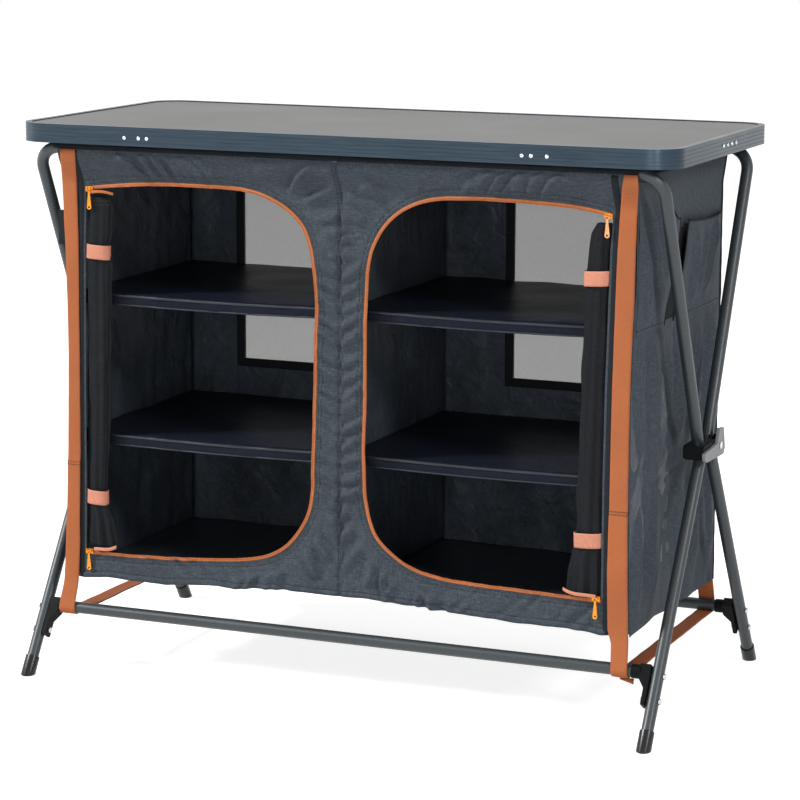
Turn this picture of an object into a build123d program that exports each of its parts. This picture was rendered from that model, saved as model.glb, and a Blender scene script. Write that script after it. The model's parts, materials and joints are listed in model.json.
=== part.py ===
"""Folding camping cupboard, in millimetres.

The origin is on the floor under the middle of the cupboard. X runs along the benchtop, the
front with the two zipped doors faces -Y, and Z is up. A steel frame of two half frames above
and two below turns on a hub at each end. It carries a cloth cabinet of two compartments with
three shelves each, and a rimmed benchtop that lifts off.
"""

from build123d import *

import math
import os

os.makedirs("parts", exist_ok=True)

# Benchtop
top_length = 1100.0
top_depth = 512.0
top_height = 900.0
rim_height = 30.0
rim_wall = 2.0
rim_flange = 10.0
rim_flange_thick = 1.6
rim_corner_radius = 50.0
groove_count = 4
groove_height = 1.8
groove_depth = 0.7
board_thick = 5.0
board_recess = 1.6
lip_bite = 0.2
batten_x = 332.0
batten_width = 58.0
batten_height = 18.0
batten_rivet_offsets = (-19.5, -5.0, 20.0)
brace_y = 20.0
brace_width = 76.0
brace_height = 12.0
brace_rivet_offsets = (-33.0, -11.0, 11.0, 33.0)
rivet_radius = 2.0
rivet_head_radius = 3.4
rivet_head_height = 1.4
rivet_grip = 5.0
saddle_wall = 3.0
saddle_length = 46.0
saddle_arm_rise = 5.0
saddle_base = 4.0

# Steel frame
tube_radius = 9.5
tube_wall = 1.2
leg_inset = 22.0
upper_frame_shift = 5.0
pivot_y = 19.0
pivot_z = 415.0
foot_spread = 56.0
top_bar_inset = 28.0
bend_radius = 40.0
crossbar_z = 104.0
tube_end_gap = 14.0
tongue_width = 18.0
tongue_thick = 5.0
tongue_side_gap = 0.5
tongue_root = 34.0
tongue_in_tube = 30.0

# Hubs, pins and lock levers
hub_half_depth = 56.0
hub_drop = 12.0
hub_rise = 10.0
hub_plate_thick = 4.0
hub_corner_radius = 7.0
hub_wall_thick = 3.0
pin_radius = 3.0
pin_head_radius = 6.0
pin_head_height = 2.0
lever_thick = 5.0
lever_outline = (
    (-66.0, 1.0), (-62.0, -12.0), (-50.0, -15.0), (36.0, -17.0), (43.0, -8.0),
    (40.0, 6.0), (35.0, 26.0), (12.0, 28.0), (4.0, 6.0), (-30.0, 3.0),
)
lever_corner_radius = 2.5

# Elbows, bolts and feet
elbow_reach = 41.0
elbow_socket_length = 13.0
elbow_socket_wall = 1.6
elbow_half_width = 9.2
elbow_arm_thick = 7.0
elbow_knee_drop = 27.0
elbow_drop = 54.0
elbow_corner_radius = 2.0
elbow_overlap = 2.0
screw_tip_gap = 4.0
bolt_drops = (4.0, 44.0)
bolt_radius = 2.5
bolt_head_radius = 4.6
bolt_head_height = 3.0
foot_radius = 11.6
foot_length = 32.0
foot_sole = 5.0
foot_edge_radius = 2.0

# Cloth cabinet
cabinet_end_gap = 47.0
cabinet_side_gap = 12.0
cabinet_top_gap = 8.0
cabinet_low_z = 155.0
cloth_thick = 1.2
door_hinge_inset = 38.0
door_inner_x = 40.0
door_low_z = 204.0
door_top_drop = 42.0
door_hinge_drop = 17.0
door_corner_radius = 150.0
tape_width = 6.0
coil_half = 1.3
window_inner_x = 127.0
window_outer_inset = 110.0
window_low_z = 460.0
window_top_drop = 60.0
shelf_thick = 20.0
shelf_levels = (397.0, 627.0)
shelf_setback = 20.0
shelf_edge_radius = 6.0
floor_board_thick = 9.0
floor_board_edge_radius = 3.0

# Side pockets, on the right end only
pocket_mouth_drop = 88.0
pocket_seam_drop = 238.0
pocket_cloth = 1.4
pocket_edge_inset = 8.0
pocket_inner_edges = (-32.0, 2.0)
pocket_fold_counts = (3, 2)
pocket_mouth_bulge = 21.0
pocket_seam_bulge = 3.0
pocket_shoulder_slope = 2.2
pocket_shoulder_limit = 0.25
pocket_valley_share = 0.86

# Rolled doors, their loops, zips and webbing
roll_hinge_gap = 3.0
roll_inset = 7.0
roll_low_gap = 11.0
roll_top_gap = 30.0
roll_half_depth = 9.5
roll_half_widths = ((0.0, 27.0), (0.14, 20.0), (0.5, 17.0), (0.82, 16.5), (1.0, 17.0))
roll_lobes = 7
roll_lobe_depth = 0.12
loop_offsets = (77.0, -87.0)
loop_height = 25.0
loop_thick = 1.2
loop_tab_length = 8.0
loop_slack_x = 1.2
loop_slack_y = 0.9
tab_overlap = 3.0
slider_length = 13.0
slider_plate = 1.6
slider_flange = 4.6
lug_width = 1.6
lug_gap = 4.6
lug_height = 5.2
lug_reach = 3.6
pull_pin_radius = 0.9
pull_eye_radius = 2.2
pull_length = 27.0
pull_width = 6.4
pull_thick = 1.6
pull_hole_radius = 1.7
pull_corner_radius = 2.5
strap_width = 29.0
strap_thick = 1.2
strap_turn_drop = 12.0
label_drop = 150.0
label_height = 56.0
label_reach = 15.0
sleeve_end_inset = 60.0
sleeve_thick = 1.0

# Clearances
running_clearance = 0.05
soft_clearance = 0.3
side_clearance = 0.5
cut_margin = 1.0

# Worked out from the above
rim_low_z = top_height - rim_height
board_top_z = top_height - board_recess
board_low_z = board_top_z - board_thick
ledge_low_z = board_low_z - rim_flange_thick
top_bar_y = top_depth / 2 - top_bar_inset
top_bar_z = ledge_low_z - batten_height - saddle_wall - soft_clearance - tube_radius
leg_x = top_length / 2 - leg_inset
foot_y = top_bar_y + foot_spread
upper_rise = top_bar_z - pivot_z
upper_reach = top_bar_y - pivot_y
upper_angle = math.atan2(upper_reach, upper_rise)
lower_angle = math.atan2(foot_y - pivot_y, pivot_z)
lower_length = math.hypot(foot_y - pivot_y, pivot_z)
crossbar_y = pivot_y + (pivot_z - crossbar_z) * math.tan(lower_angle)
hub_inner_x = leg_x - upper_frame_shift - tube_radius - side_clearance - hub_plate_thick
hub_outer_x = leg_x + tube_radius + side_clearance + hub_plate_thick
hub_low_z = pivot_z - hub_drop
hub_high_z = pivot_z + hub_rise
lever_inner_x = hub_outer_x + soft_clearance
elbow_start_x = leg_x - elbow_reach
elbow_socket_end = elbow_start_x + elbow_socket_length
elbow_face_x = leg_x - tube_radius - soft_clearance
screw_tip_x = elbow_socket_end + screw_tip_gap
nut_face_x = elbow_face_x - elbow_arm_thick
cabinet_half_width = leg_x - cabinet_end_gap
cabinet_half_depth = top_bar_y - cabinet_side_gap
cabinet_high_z = top_bar_z - cabinet_top_gap
inside_x = cabinet_half_width - cloth_thick
inside_y = cabinet_half_depth - cloth_thick
divider_half = cloth_thick / 2
panel_front_y = -cabinet_half_depth
pocket_edge_y = cabinet_half_depth - pocket_edge_inset
pocket_mouth_z = cabinet_high_z - pocket_mouth_drop
pocket_seam_z = cabinet_high_z - pocket_seam_drop
pocket_spans = ((-pocket_edge_y, pocket_inner_edges[0]), (pocket_inner_edges[1], pocket_edge_y))
door_hinge_x = cabinet_half_width - door_hinge_inset
door_high_z = cabinet_high_z - door_top_drop
window_outer_x = cabinet_half_width - window_outer_inset
window_high_z = cabinet_high_z - window_top_drop
roll_outer_x = door_hinge_x - roll_hinge_gap
roll_y = panel_front_y + roll_inset
roll_low_z = door_low_z + roll_low_gap
roll_high_z = door_high_z - roll_top_gap
loop_levels = (roll_low_z + loop_offsets[0], roll_high_z + loop_offsets[1])
strap_outer_x = cabinet_half_width
label_low_z = cabinet_high_z - label_drop
sleeve_half_length = leg_x - sleeve_end_inset

SIDES = (("left", -1), ("right", 1))


def save(name, shape):
    """Write one node's solids to its STEP file."""
    solids = shape.solids()
    whole = solids[0] if len(solids) == 1 else Compound(children=list(solids))
    export_step(whole, f"parts/{name}.step")


def block(x_span, y_span, z_span):
    """Box between the two values of each span."""
    centre = [(span[0] + span[1]) / 2 for span in (x_span, y_span, z_span)]
    size = [abs(span[1] - span[0]) for span in (x_span, y_span, z_span)]
    return Pos(*centre) * Box(*size)


def flip_x(shape):
    """The same shape on the other end of the cupboard."""
    return mirror(shape, about=Plane.YZ)


def flip_y(shape):
    """The same shape on the other long side of the cupboard."""
    return mirror(shape, about=Plane.XZ)


def pair_x(shape):
    """A right-hand shape with its left-hand twin."""
    return shape + flip_x(shape)


def upright_slab(sketch, y_low, y_high):
    """Sketch drawn in X and Z, as a slab between two values of y."""
    return extrude(Plane.XZ.offset(-y_high) * sketch, y_high - y_low)


def end_slab(sketch, x_low, x_high):
    """Sketch drawn in Y and Z, as a slab between two values of x."""
    return extrude(Plane.YZ.offset(x_low) * sketch, x_high - x_low)


def flat_slab(sketch, z_low, z_high):
    """Sketch drawn in X and Y, as a slab between two heights."""
    return extrude(Plane.XY.offset(z_low) * sketch, z_high - z_low)


def cylinder_x(radius, x_span, y, z):
    """Round bar along X between two values of x."""
    length = abs(x_span[1] - x_span[0])
    middle = (x_span[0] + x_span[1]) / 2
    return Pos(middle, y, z) * Rot(0, 90, 0) * Cylinder(radius, length)


def cylinder_y(radius, y_span, x, z):
    """Round bar along Y between two values of y."""
    length = abs(y_span[1] - y_span[0])
    middle = (y_span[0] + y_span[1]) / 2
    return Pos(x, middle, z) * Rot(90, 0, 0) * Cylinder(radius, length)


def swept(path, section):
    """Section drawn round the start of a path, swept to its end."""
    return sweep(Plane(origin=path @ 0, z_dir=path % 0) * section, path=path)


# Benchtop pieces


def top_outline(inset):
    """Benchtop outline, drawn in from its edge by the inset."""
    length = top_length - 2 * inset
    depth = top_depth - 2 * inset
    return RectangleRounded(length, depth, rim_corner_radius - inset)


def rim_rivet_places():
    """Outward direction, place along the rim, and height of each rivet."""
    batten_z = ledge_low_z - batten_height / 2
    brace_z = ledge_low_z - brace_height / 2
    places = []
    for side in (-1, 1):
        for offset in batten_rivet_offsets:
            x = side * (batten_x + offset)
            places += [("y", -1, x, batten_z), ("y", 1, x, batten_z)]
        for offset in brace_rivet_offsets:
            places.append(("x", side, brace_y + offset, brace_z))
    return places


def rivet_bar(place, radius, inner, outer):
    """Round bar square to the rim, between two distances out from its face."""
    direction, side, along, z = place
    if direction == "y":
        face = side * top_depth / 2
        return cylinder_y(radius, (face + side * inner, face + side * outer), along, z)
    face = side * top_length / 2
    return cylinder_x(radius, (face + side * inner, face + side * outer), along, z)


def benchtop_rim():
    """Grooved aluminium edge with flanges over and under the board."""
    rim = flat_slab(top_outline(0) - top_outline(rim_wall), rim_low_z, top_height)
    flange = top_outline(0) - top_outline(rim_flange)
    for low in (rim_low_z, ledge_low_z):
        rim += flat_slab(flange, low, low + rim_flange_thick)
    rim += flat_slab(flange, board_top_z - lip_bite, top_height)
    groove = top_outline(-cut_margin) - top_outline(groove_depth)
    pitch = rim_height / (groove_count + 1)
    for index in range(groove_count):
        middle = rim_low_z + pitch * (index + 1)
        rim -= flat_slab(groove, middle - groove_height / 2, middle + groove_height / 2)
    for place in rim_rivet_places():
        rim -= rivet_bar(place, rivet_radius + running_clearance, -rivet_grip, cut_margin)
    return rim


def benchtop_board():
    """Board with a shallow step round its edge, where the rim's lip bites in."""
    board = flat_slab(top_outline(rim_wall), board_low_z, board_top_z - lip_bite)
    clear_face = top_outline(rim_flange + running_clearance)
    return board + flat_slab(clear_face, board_low_z, board_top_z)


def batten(side):
    """Cross batten under the board, riveted to the front and rear rim."""
    half = top_depth / 2 - rim_wall
    x_mid = side * batten_x
    bar = block(
        (x_mid - batten_width / 2, x_mid + batten_width / 2),
        (-half, half),
        (ledge_low_z - batten_height, ledge_low_z),
    )
    # Notches keep the ends of a tall batten clear of the rim's lower flange
    edge = top_outline(-cut_margin) - top_outline(rim_flange + running_clearance)
    bar -= flat_slab(edge, rim_low_z, rim_low_z + rim_flange_thick + running_clearance)
    for end in (-1, 1):
        for offset in batten_rivet_offsets:
            place = ("y", end, side * (batten_x + offset), ledge_low_z - batten_height / 2)
            bar -= rivet_bar(place, rivet_radius + running_clearance, -rivet_grip, 0)
    return bar


def benchtop_braces():
    """Three lengthwise braces, between the battens and out to the end rims."""
    y_span = (brace_y - brace_width / 2, brace_y + brace_width / 2)
    z_span = (ledge_low_z - brace_height, ledge_low_z)
    inner = batten_x - batten_width / 2
    outer = batten_x + batten_width / 2
    end = block((outer, top_length / 2 - rim_wall), y_span, z_span)
    for offset in brace_rivet_offsets:
        place = ("x", 1, brace_y + offset, ledge_low_z - brace_height / 2)
        end -= rivet_bar(place, rivet_radius + running_clearance, -rivet_grip, 0)
    return block((-inner, inner), y_span, z_span) + pair_x(end)


def benchtop_rivets():
    """Domed rivets through the rim."""
    rivets = []
    for place in rim_rivet_places():
        shank = rivet_bar(place, rivet_radius, -rivet_grip, 0)
        head = rivet_bar(place, rivet_head_radius, 0, rivet_head_height)
        rivets.append((shank + head).solids()[0])
    return Compound(children=rivets)


def bar_saddles():
    """Four clips under the battens that sit over the frame's top bars."""
    inner = tube_radius + soft_clearance
    outer = inner + saddle_wall
    foot_high = ledge_low_z - batten_height
    base_middle = foot_high - top_bar_z - saddle_base / 2
    arch = Circle(outer) + Pos(0, base_middle) * Rectangle(2 * outer, saddle_base)
    arch -= Circle(inner)
    arch -= Pos(0, saddle_arm_rise - outer) * Rectangle(3 * outer, 2 * outer)
    saddles = []
    for side in (-1, 1):
        for end in (-1, 1):
            middle = side * batten_x
            body = end_slab(
                Pos(end * top_bar_y, top_bar_z) * arch,
                middle - saddle_length / 2,
                middle + saddle_length / 2,
            )
            saddles += list(body.solids())
    return Compound(children=saddles)


save("benchtop_board", benchtop_board())
save("benchtop_rim", benchtop_rim())
for side_name, side in SIDES:
    save(f"benchtop_batten_{side_name}", batten(side))
save("benchtop_braces", benchtop_braces())
save("benchtop_rivets", benchtop_rivets())
save("bar_saddles", bar_saddles())


# Frame pieces, drawn for the front and the right, then mirrored


def leg_direction(top):
    """Unit vector from the front pivot up to the top bar or down to the foot."""
    if top:
        return Vector(0, -upper_reach, upper_rise).normalized()
    return Vector(0, -(foot_y - pivot_y), -pivot_z).normalized()


front_pivot = Vector(leg_x, -pivot_y, pivot_z)


def tongue(top):
    """Flattened end of a leg, with its pivot hole, at the right front pivot."""
    direction = leg_direction(top)
    x_low = -tongue_side_gap - tongue_thick if top else tongue_side_gap
    plane = Plane(origin=front_pivot, x_dir=direction, z_dir=(1, 0, 0))
    outline = Circle(tongue_width / 2)
    outline += Pos(tongue_root / 2, 0) * Rectangle(tongue_root, tongue_width)
    outline -= Circle(pin_radius + running_clearance)
    plate = extrude(plane.offset(x_low) * outline, tongue_thick)
    shift = Vector(-upper_frame_shift if top else 0, 0, 0)
    plug_plane = Plane(origin=front_pivot + shift + direction * tube_end_gap, z_dir=direction)
    plug = extrude(plug_plane * Circle(tube_radius - tube_wall / 2), tongue_in_tube)
    return plate + plug


def upper_frame():
    """Front half frame: one tube bent into an upside-down U, with flattened ends."""
    upper_x = leg_x - upper_frame_shift
    start = Vector(upper_x, -pivot_y, pivot_z) + leg_direction(True) * tube_end_gap
    corners = [
        start,
        Vector(upper_x, -top_bar_y, top_bar_z),
        Vector(-upper_x, -top_bar_y, top_bar_z),
        Vector(-start.X, start.Y, start.Z),
    ]
    path = FilletPolyline(*corners, radius=bend_radius)
    tube = swept(path, Circle(tube_radius) - Circle(tube_radius - tube_wall))
    end = tongue(True)
    return tube + end + flip_x(end)


def bolt_places():
    """Height of each bolt on the right front leg, with its y on the leg's line."""
    heights = [crossbar_z - drop * math.cos(lower_angle) for drop in bolt_drops]
    return [(-pivot_y - (pivot_z - z) * math.tan(lower_angle), z) for z in heights]


def lower_leg():
    """Right front leg, from the hub to the floor, with its bolt holes."""
    direction = leg_direction(False)
    plane = Plane(origin=front_pivot + direction * tube_end_gap, z_dir=direction)
    length = lower_length - tube_end_gap - foot_sole - tube_radius * math.tan(lower_angle)
    ring = Circle(tube_radius) - Circle(tube_radius - tube_wall)
    leg = extrude(plane * ring, length) + tongue(False)
    hole_span = (leg_x - 2 * tube_radius, leg_x + 2 * tube_radius)
    for y, z in bolt_places():
        leg -= cylinder_x(bolt_radius + running_clearance, hole_span, y, z)
    return leg


def foot():
    """Right front foot cap, bored for its leg and cut flat on the floor."""
    direction = leg_direction(False)
    sole_centre = Vector(leg_x, -foot_y, 0)
    top = Plane(origin=sole_centre - direction * foot_length, z_dir=direction)
    body = extrude(top * Circle(foot_radius), foot_length + 2 * foot_radius)
    x_span = (leg_x - 2 * foot_radius, leg_x + 2 * foot_radius)
    body &= block(x_span, (-foot_y - foot_length, 0), (0, 2 * foot_length))
    sole = body.faces().sort_by(Axis.Z)[0]
    body = fillet(sole.edges(), foot_edge_radius)
    depth = foot_length - foot_sole - tube_radius * math.tan(lower_angle) + running_clearance
    return body - extrude(top * Circle(tube_radius + running_clearance), depth)


def elbow():
    """Right front plastic elbow, from the crossbar's end down the leg's inner side."""
    direction = leg_direction(False)
    socket_radius = tube_radius + elbow_socket_wall
    knee_plane = Plane(
        origin=Vector(0, -crossbar_y, crossbar_z),
        x_dir=(1, 0, 0),
        z_dir=Vector(1, 0, 0).cross(direction * -1),
    )
    corners = [
        (elbow_socket_end, socket_radius),
        (elbow_face_x, socket_radius),
        (elbow_face_x, -elbow_drop),
        (nut_face_x, -elbow_drop),
        (nut_face_x, -elbow_knee_drop),
        (elbow_socket_end, -socket_radius),
    ]
    outline = make_face(Polyline(*corners, close=True))
    outline = fillet(outline.vertices(), elbow_corner_radius)
    body = extrude(knee_plane * outline, elbow_half_width, both=True)
    socket_span = (elbow_start_x, elbow_socket_end + elbow_overlap)
    body += cylinder_x(socket_radius, socket_span, -crossbar_y, crossbar_z)
    bore = tube_radius + running_clearance
    body -= cylinder_x(bore, (elbow_start_x - cut_margin, elbow_socket_end), -crossbar_y, crossbar_z)
    for (y, z), inner_x in zip(bolt_places(), (screw_tip_x, nut_face_x)):
        body -= cylinder_x(bolt_radius + running_clearance, (inner_x, leg_x), y, z)
    return body


def crossbar():
    """Front crossbar tube, from elbow to elbow."""
    half = elbow_socket_end - running_clearance
    outer = cylinder_x(tube_radius, (-half, half), -crossbar_y, crossbar_z)
    return outer - cylinder_x(tube_radius - tube_wall, (-half, half), -crossbar_y, crossbar_z)


def bolts():
    """Screw into the elbow's knee and bolt through its arm, at the right front."""
    outer_x = leg_x + tube_radius
    head_span = (outer_x, outer_x + bolt_head_height)
    (screw_y, screw_z), (bolt_y, bolt_z) = bolt_places()
    screw = cylinder_x(bolt_radius, (screw_tip_x, outer_x), screw_y, screw_z)
    screw += cylinder_x(bolt_head_radius, head_span, screw_y, screw_z)
    nut_span = (nut_face_x - bolt_head_height, nut_face_x)
    bolt = cylinder_x(bolt_radius, (nut_span[0], outer_x), bolt_y, bolt_z)
    bolt += cylinder_x(bolt_head_radius, head_span, bolt_y, bolt_z)
    bolt += cylinder_x(bolt_head_radius, nut_span, bolt_y, bolt_z)
    return Compound(children=[screw.solids()[0], bolt.solids()[0]])


both_bolts = Compound(children=list(bolts().solids()) + list(flip_x(bolts()).solids()))
frame_pieces = {
    "upper_frame_{}": upper_frame(),
    "leg_{}_right": lower_leg(),
    "leg_{}_left": flip_x(lower_leg()),
    "feet_{}": pair_x(foot()),
    "elbows_{}": pair_x(elbow()),
    "leg_bolts_{}": both_bolts,
    "crossbar_{}": crossbar(),
}
for name, shape in frame_pieces.items():
    save(name.format("front"), shape)
    save(name.format("rear"), flip_y(shape))


# Hub pieces, drawn for the right end


def hub():
    """Black housing that holds the four leg ends between two plates."""
    depth = 2 * hub_half_depth
    height = hub_high_z - hub_low_z
    face = Pos(0, (hub_low_z + hub_high_z) / 2) * RectangleRounded(depth, height, hub_corner_radius)
    for y in (-pivot_y, pivot_y):
        face -= Pos(y, pivot_z) * Circle(pin_radius + running_clearance)
    body = end_slab(face, hub_inner_x, hub_inner_x + hub_plate_thick)
    body += end_slab(face, hub_outer_x - hub_plate_thick, hub_outer_x)
    span = (hub_inner_x + hub_plate_thick, hub_outer_x - hub_plate_thick)
    reach = hub_half_depth - hub_wall_thick - pivot_y
    below = reach / math.tan(lower_angle) - tube_radius / math.sin(lower_angle)
    above = reach / math.tan(upper_angle) - tube_radius / math.sin(upper_angle)
    z_low = pivot_z - min(hub_drop, below - side_clearance)
    z_high = pivot_z + min(hub_rise, above - side_clearance)
    for end in (-1, 1):
        outer = end * hub_half_depth
        body += block(span, (outer - end * hub_wall_thick, outer), (z_low, z_high))
    return body


def hub_pins():
    """Two pivot pins: the rear one reaches out through the lever."""
    head_span = (hub_inner_x - pin_head_height, hub_inner_x)
    front = cylinder_x(pin_radius, (hub_inner_x, hub_outer_x), -pivot_y, pivot_z)
    front += cylinder_x(pin_head_radius, head_span, -pivot_y, pivot_z)
    lever_face = lever_inner_x + lever_thick + soft_clearance
    rear = cylinder_x(pin_radius, (hub_inner_x, lever_face), pivot_y, pivot_z)
    rear += cylinder_x(pin_head_radius, head_span, pivot_y, pivot_z)
    cap_span = (lever_face, lever_face + pin_head_height / 2)
    rear += cylinder_x(pin_head_radius, cap_span, pivot_y, pivot_z)
    return Compound(children=[front.solids()[0], rear.solids()[0]])


def lock_lever():
    """Grey lock lever over the hub's outer face."""
    corners = [(y, pivot_z + height) for y, height in lever_outline]
    outline = make_face(Polyline(*corners, close=True))
    outline = fillet(outline.vertices(), lever_corner_radius)
    outline -= Pos(pivot_y, pivot_z) * Circle(pin_radius + running_clearance)
    return end_slab(outline, lever_inner_x, lever_inner_x + lever_thick)


save("hub_right", hub())
save("hub_left", flip_x(hub()))
pin_solids = list(hub_pins().solids()) + list(flip_x(hub_pins()).solids())
save("hub_pins", Compound(children=pin_solids))
save("lock_lever_right", lock_lever())
save("lock_lever_left", flip_x(lock_lever()))


# Cloth cabinet, drawn for the right half where it has two


def door_outline(grow):
    """Right door opening in X and Z, with all but its hinge side moved out."""
    hinge_high = door_high_z - door_hinge_drop
    corners = [
        (door_hinge_x, door_low_z - grow),
        (door_hinge_x, hinge_high + grow),
        (door_inner_x - grow, door_high_z + grow),
        (door_inner_x - grow, door_low_z - grow),
    ]
    face = make_face(Polyline(*corners, close=True))
    inner = face.vertices().sort_by(Axis.X)[:2]
    return fillet(inner, door_corner_radius + grow)


def front_panel():
    """Right half of the front, sewn to its twin at the middle, with its door opening."""
    height = cabinet_high_z - cabinet_low_z
    middle_z = (cabinet_high_z + cabinet_low_z) / 2
    sheet = Pos(cabinet_half_width / 2, middle_z) * Rectangle(cabinet_half_width, height)
    sheet -= door_outline(tape_width)
    return upright_slab(sheet, panel_front_y, panel_front_y + cloth_thick)


def zip_track():
    """Right zip: a tape round the opening's edge with the coil along its inner edge."""
    tape = door_outline(tape_width) - door_outline(0)
    track = upright_slab(tape, panel_front_y, panel_front_y + cloth_thick)
    coil = door_outline(coil_half) - door_outline(-coil_half)
    middle_y = panel_front_y + cloth_thick / 2
    return track + upright_slab(coil, middle_y - coil_half, middle_y + coil_half)


def back_panel():
    """Rear cloth with two window openings."""
    height = cabinet_high_z - cabinet_low_z
    middle_z = (cabinet_high_z + cabinet_low_z) / 2
    sheet = Pos(0, middle_z) * Rectangle(2 * cabinet_half_width, height)
    for side in (-1, 1):
        sheet -= window_outline(side)
    return upright_slab(sheet, inside_y, cabinet_half_depth)


def window_outline(side):
    """Window opening in X and Z."""
    width = window_outer_x - window_inner_x
    height = window_high_z - window_low_z
    middle = (side * (window_inner_x + window_outer_x) / 2, (window_high_z + window_low_z) / 2)
    return Pos(*middle) * Rectangle(width, height)


def end_panel():
    """Right end cloth."""
    z_span = (cabinet_low_z, cabinet_high_z)
    return block((inside_x, cabinet_half_width), (-inside_y, inside_y), z_span)


def shelf(top_z, thick, edge_radius):
    """Right-hand shelf with a soft front edge."""
    y_span = (-inside_y + shelf_setback, inside_y)
    board = block((divider_half, inside_x), y_span, (top_z - thick, top_z))
    edges = board.edges().filter_by(Axis.X).group_by(Axis.Y)[0]
    return fillet(edges, edge_radius)


def pocket_profile(y_span, bulge, folds, inset):
    """Pocket section in X and Y: a row of shallow folds standing off the end cloth."""
    low = y_span[0] + inset
    high = y_span[1] - inset
    depth = bulge - inset
    shoulder = min(pocket_shoulder_slope * depth, pocket_shoulder_limit * (high - low))
    base = cabinet_half_width
    pitch = (high - low - 2 * shoulder) / folds
    valley_x = base + depth * pocket_valley_share
    points = [(valley_x, low + shoulder + index * pitch) for index in range(folds + 1)]
    edges = [Line((base, high), (base, low)), Line((base, low), points[0])]
    for first, second in zip(points, points[1:]):
        crest = (base + depth, (first[1] + second[1]) / 2)
        edges.append(ThreePointArc(first, crest, second))
    edges.append(Line(points[-1], (base, high)))
    return make_face(edges)


def pocket_body(y_span, folds, inset, low_z):
    """Solid that a pocket's outer or inner face bounds."""
    sections = []
    for z, bulge in ((low_z, pocket_seam_bulge), (pocket_mouth_z, pocket_mouth_bulge)):
        profile = pocket_profile(y_span, bulge, folds, inset)
        sections.append(Plane.XY.offset(z) * profile)
    return loft(sections)


def pocket(y_span, folds):
    """Open-topped pocket sewn to the right end along its sides and foot."""
    outer = pocket_body(y_span, folds, 0, pocket_seam_z)
    return outer - pocket_body(y_span, folds, pocket_cloth, pocket_seam_z + pocket_cloth)


def roll_section(share, half_width):
    """Section of a rolled door in X and Y, with one shallow arc for each fold."""
    z = roll_low_z + share * (roll_high_z - roll_low_z)
    middle_x = roll_outer_x - half_width
    points = []
    for index in range(2 * roll_lobes):
        turn = math.pi * index / roll_lobes
        scale = 1 if index % 2 else 1 - roll_lobe_depth
        points.append((half_width * scale * math.cos(turn), roll_half_depth * scale * math.sin(turn)))
    arcs = []
    for index in range(roll_lobes):
        valley, crest = points[2 * index], points[2 * index + 1]
        arcs.append(ThreePointArc(valley, crest, points[(2 * index + 2) % len(points)]))
    return Plane.XY.offset(z) * Pos(middle_x, roll_y) * make_face(arcs)


def door_roll():
    """Right door rolled up at its hinge side, spreading below its lower loop."""
    return loft([roll_section(share, half) for share, half in roll_half_widths])


def roll_half_width_at(z):
    """Half width of the rolled door at a height."""
    share = (z - roll_low_z) / (roll_high_z - roll_low_z)
    for (low, first), (high, second) in zip(roll_half_widths, roll_half_widths[1:]):
        if low <= share <= high:
            return first + (second - first) * (share - low) / (high - low)
    return roll_half_widths[-1][1]


def roll_loops():
    """Two webbing loops round the right rolled door, each sewn to the front cloth."""
    loops = []
    for z in loop_levels:
        half_width = roll_half_width_at(z - loop_height / 2)
        middle = Pos(roll_outer_x - half_width, roll_y)
        half_x = half_width + loop_slack_x
        half_y = roll_half_depth + loop_slack_y
        ring = Ellipse(half_x + loop_thick, half_y + loop_thick) - Ellipse(half_x, half_y)
        z_span = (z - loop_height / 2, z + loop_height / 2)
        loop = flat_slab(middle * ring, *z_span)
        tab_x = (roll_outer_x - tab_overlap, door_hinge_x + loop_tab_length)
        tab = block(tab_x, (panel_front_y - loop_thick, panel_front_y), z_span)
        hollow = flat_slab(middle * Ellipse(half_x, half_y), *z_span)
        loop += tab - hollow
        loops += list(loop.solids())
    return Compound(children=loops)


def slider_parts(high):
    """Right-hand zip slider and its pull, at the top or the foot of the opening."""
    line_angle = math.degrees(math.atan2(door_hinge_drop, door_hinge_x - door_inner_x)) if high else 0
    middle_x = door_hinge_x - slider_length / 2
    rise = math.tan(math.radians(line_angle)) * (door_hinge_x - middle_x)
    middle_z = door_high_z - door_hinge_drop + rise if high else door_low_z
    coil_y = panel_front_y + cloth_thick / 2
    half = slider_length / 2
    inner = coil_half + soft_clearance
    down = -1 if high else 1
    spread = (-down * slider_flange, down * (inner + slider_plate))
    body = block((-half, half), (coil_y - inner - slider_plate, coil_y + inner + slider_plate), spread)
    body -= block((-half, half), (coil_y - inner, coil_y + inner), (-down * slider_flange, down * inner))
    face_y = coil_y - inner - slider_plate
    for lug_side in (-1, 1):
        near = lug_side * lug_gap / 2
        lug_x = (near, near + lug_side * lug_width)
        lug_z = (-lug_height / 2, lug_height / 2)
        body += block(lug_x, (face_y - lug_reach, face_y), lug_z)
    pin_y = face_y - lug_reach + lug_width
    span = lug_gap / 2 + lug_width
    body += cylinder_x(pull_pin_radius, (-span, span), pin_y, 0)
    half_pull = lug_gap / 2 - soft_clearance / 2
    eye_radius = min(pull_eye_radius, lug_reach - lug_width - soft_clearance)
    eye = cylinder_x(eye_radius, (-half_pull, half_pull), pin_y, 0)
    pull_y = (pin_y - pull_thick / 2, pin_y + pull_thick / 2)
    neck = block((-half_pull, half_pull), pull_y, (-lug_height, 0))
    tab = RectangleRounded(pull_width, pull_length, pull_corner_radius)
    tab = Pos(0, -lug_height - pull_length / 2) * tab
    hole_z = -lug_height - pull_length + pull_width / 2
    tab -= Pos(0, hole_z) * Circle(pull_hole_radius)
    pull = eye + neck + upright_slab(tab, *pull_y)
    pull -= cylinder_x(pull_pin_radius + running_clearance, (-span, span), pin_y, 0)
    place = Pos(middle_x, 0, middle_z)
    return place * Rot(0, line_angle, 0) * body, place * Rot(0, line_angle, 0) * pull


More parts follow.
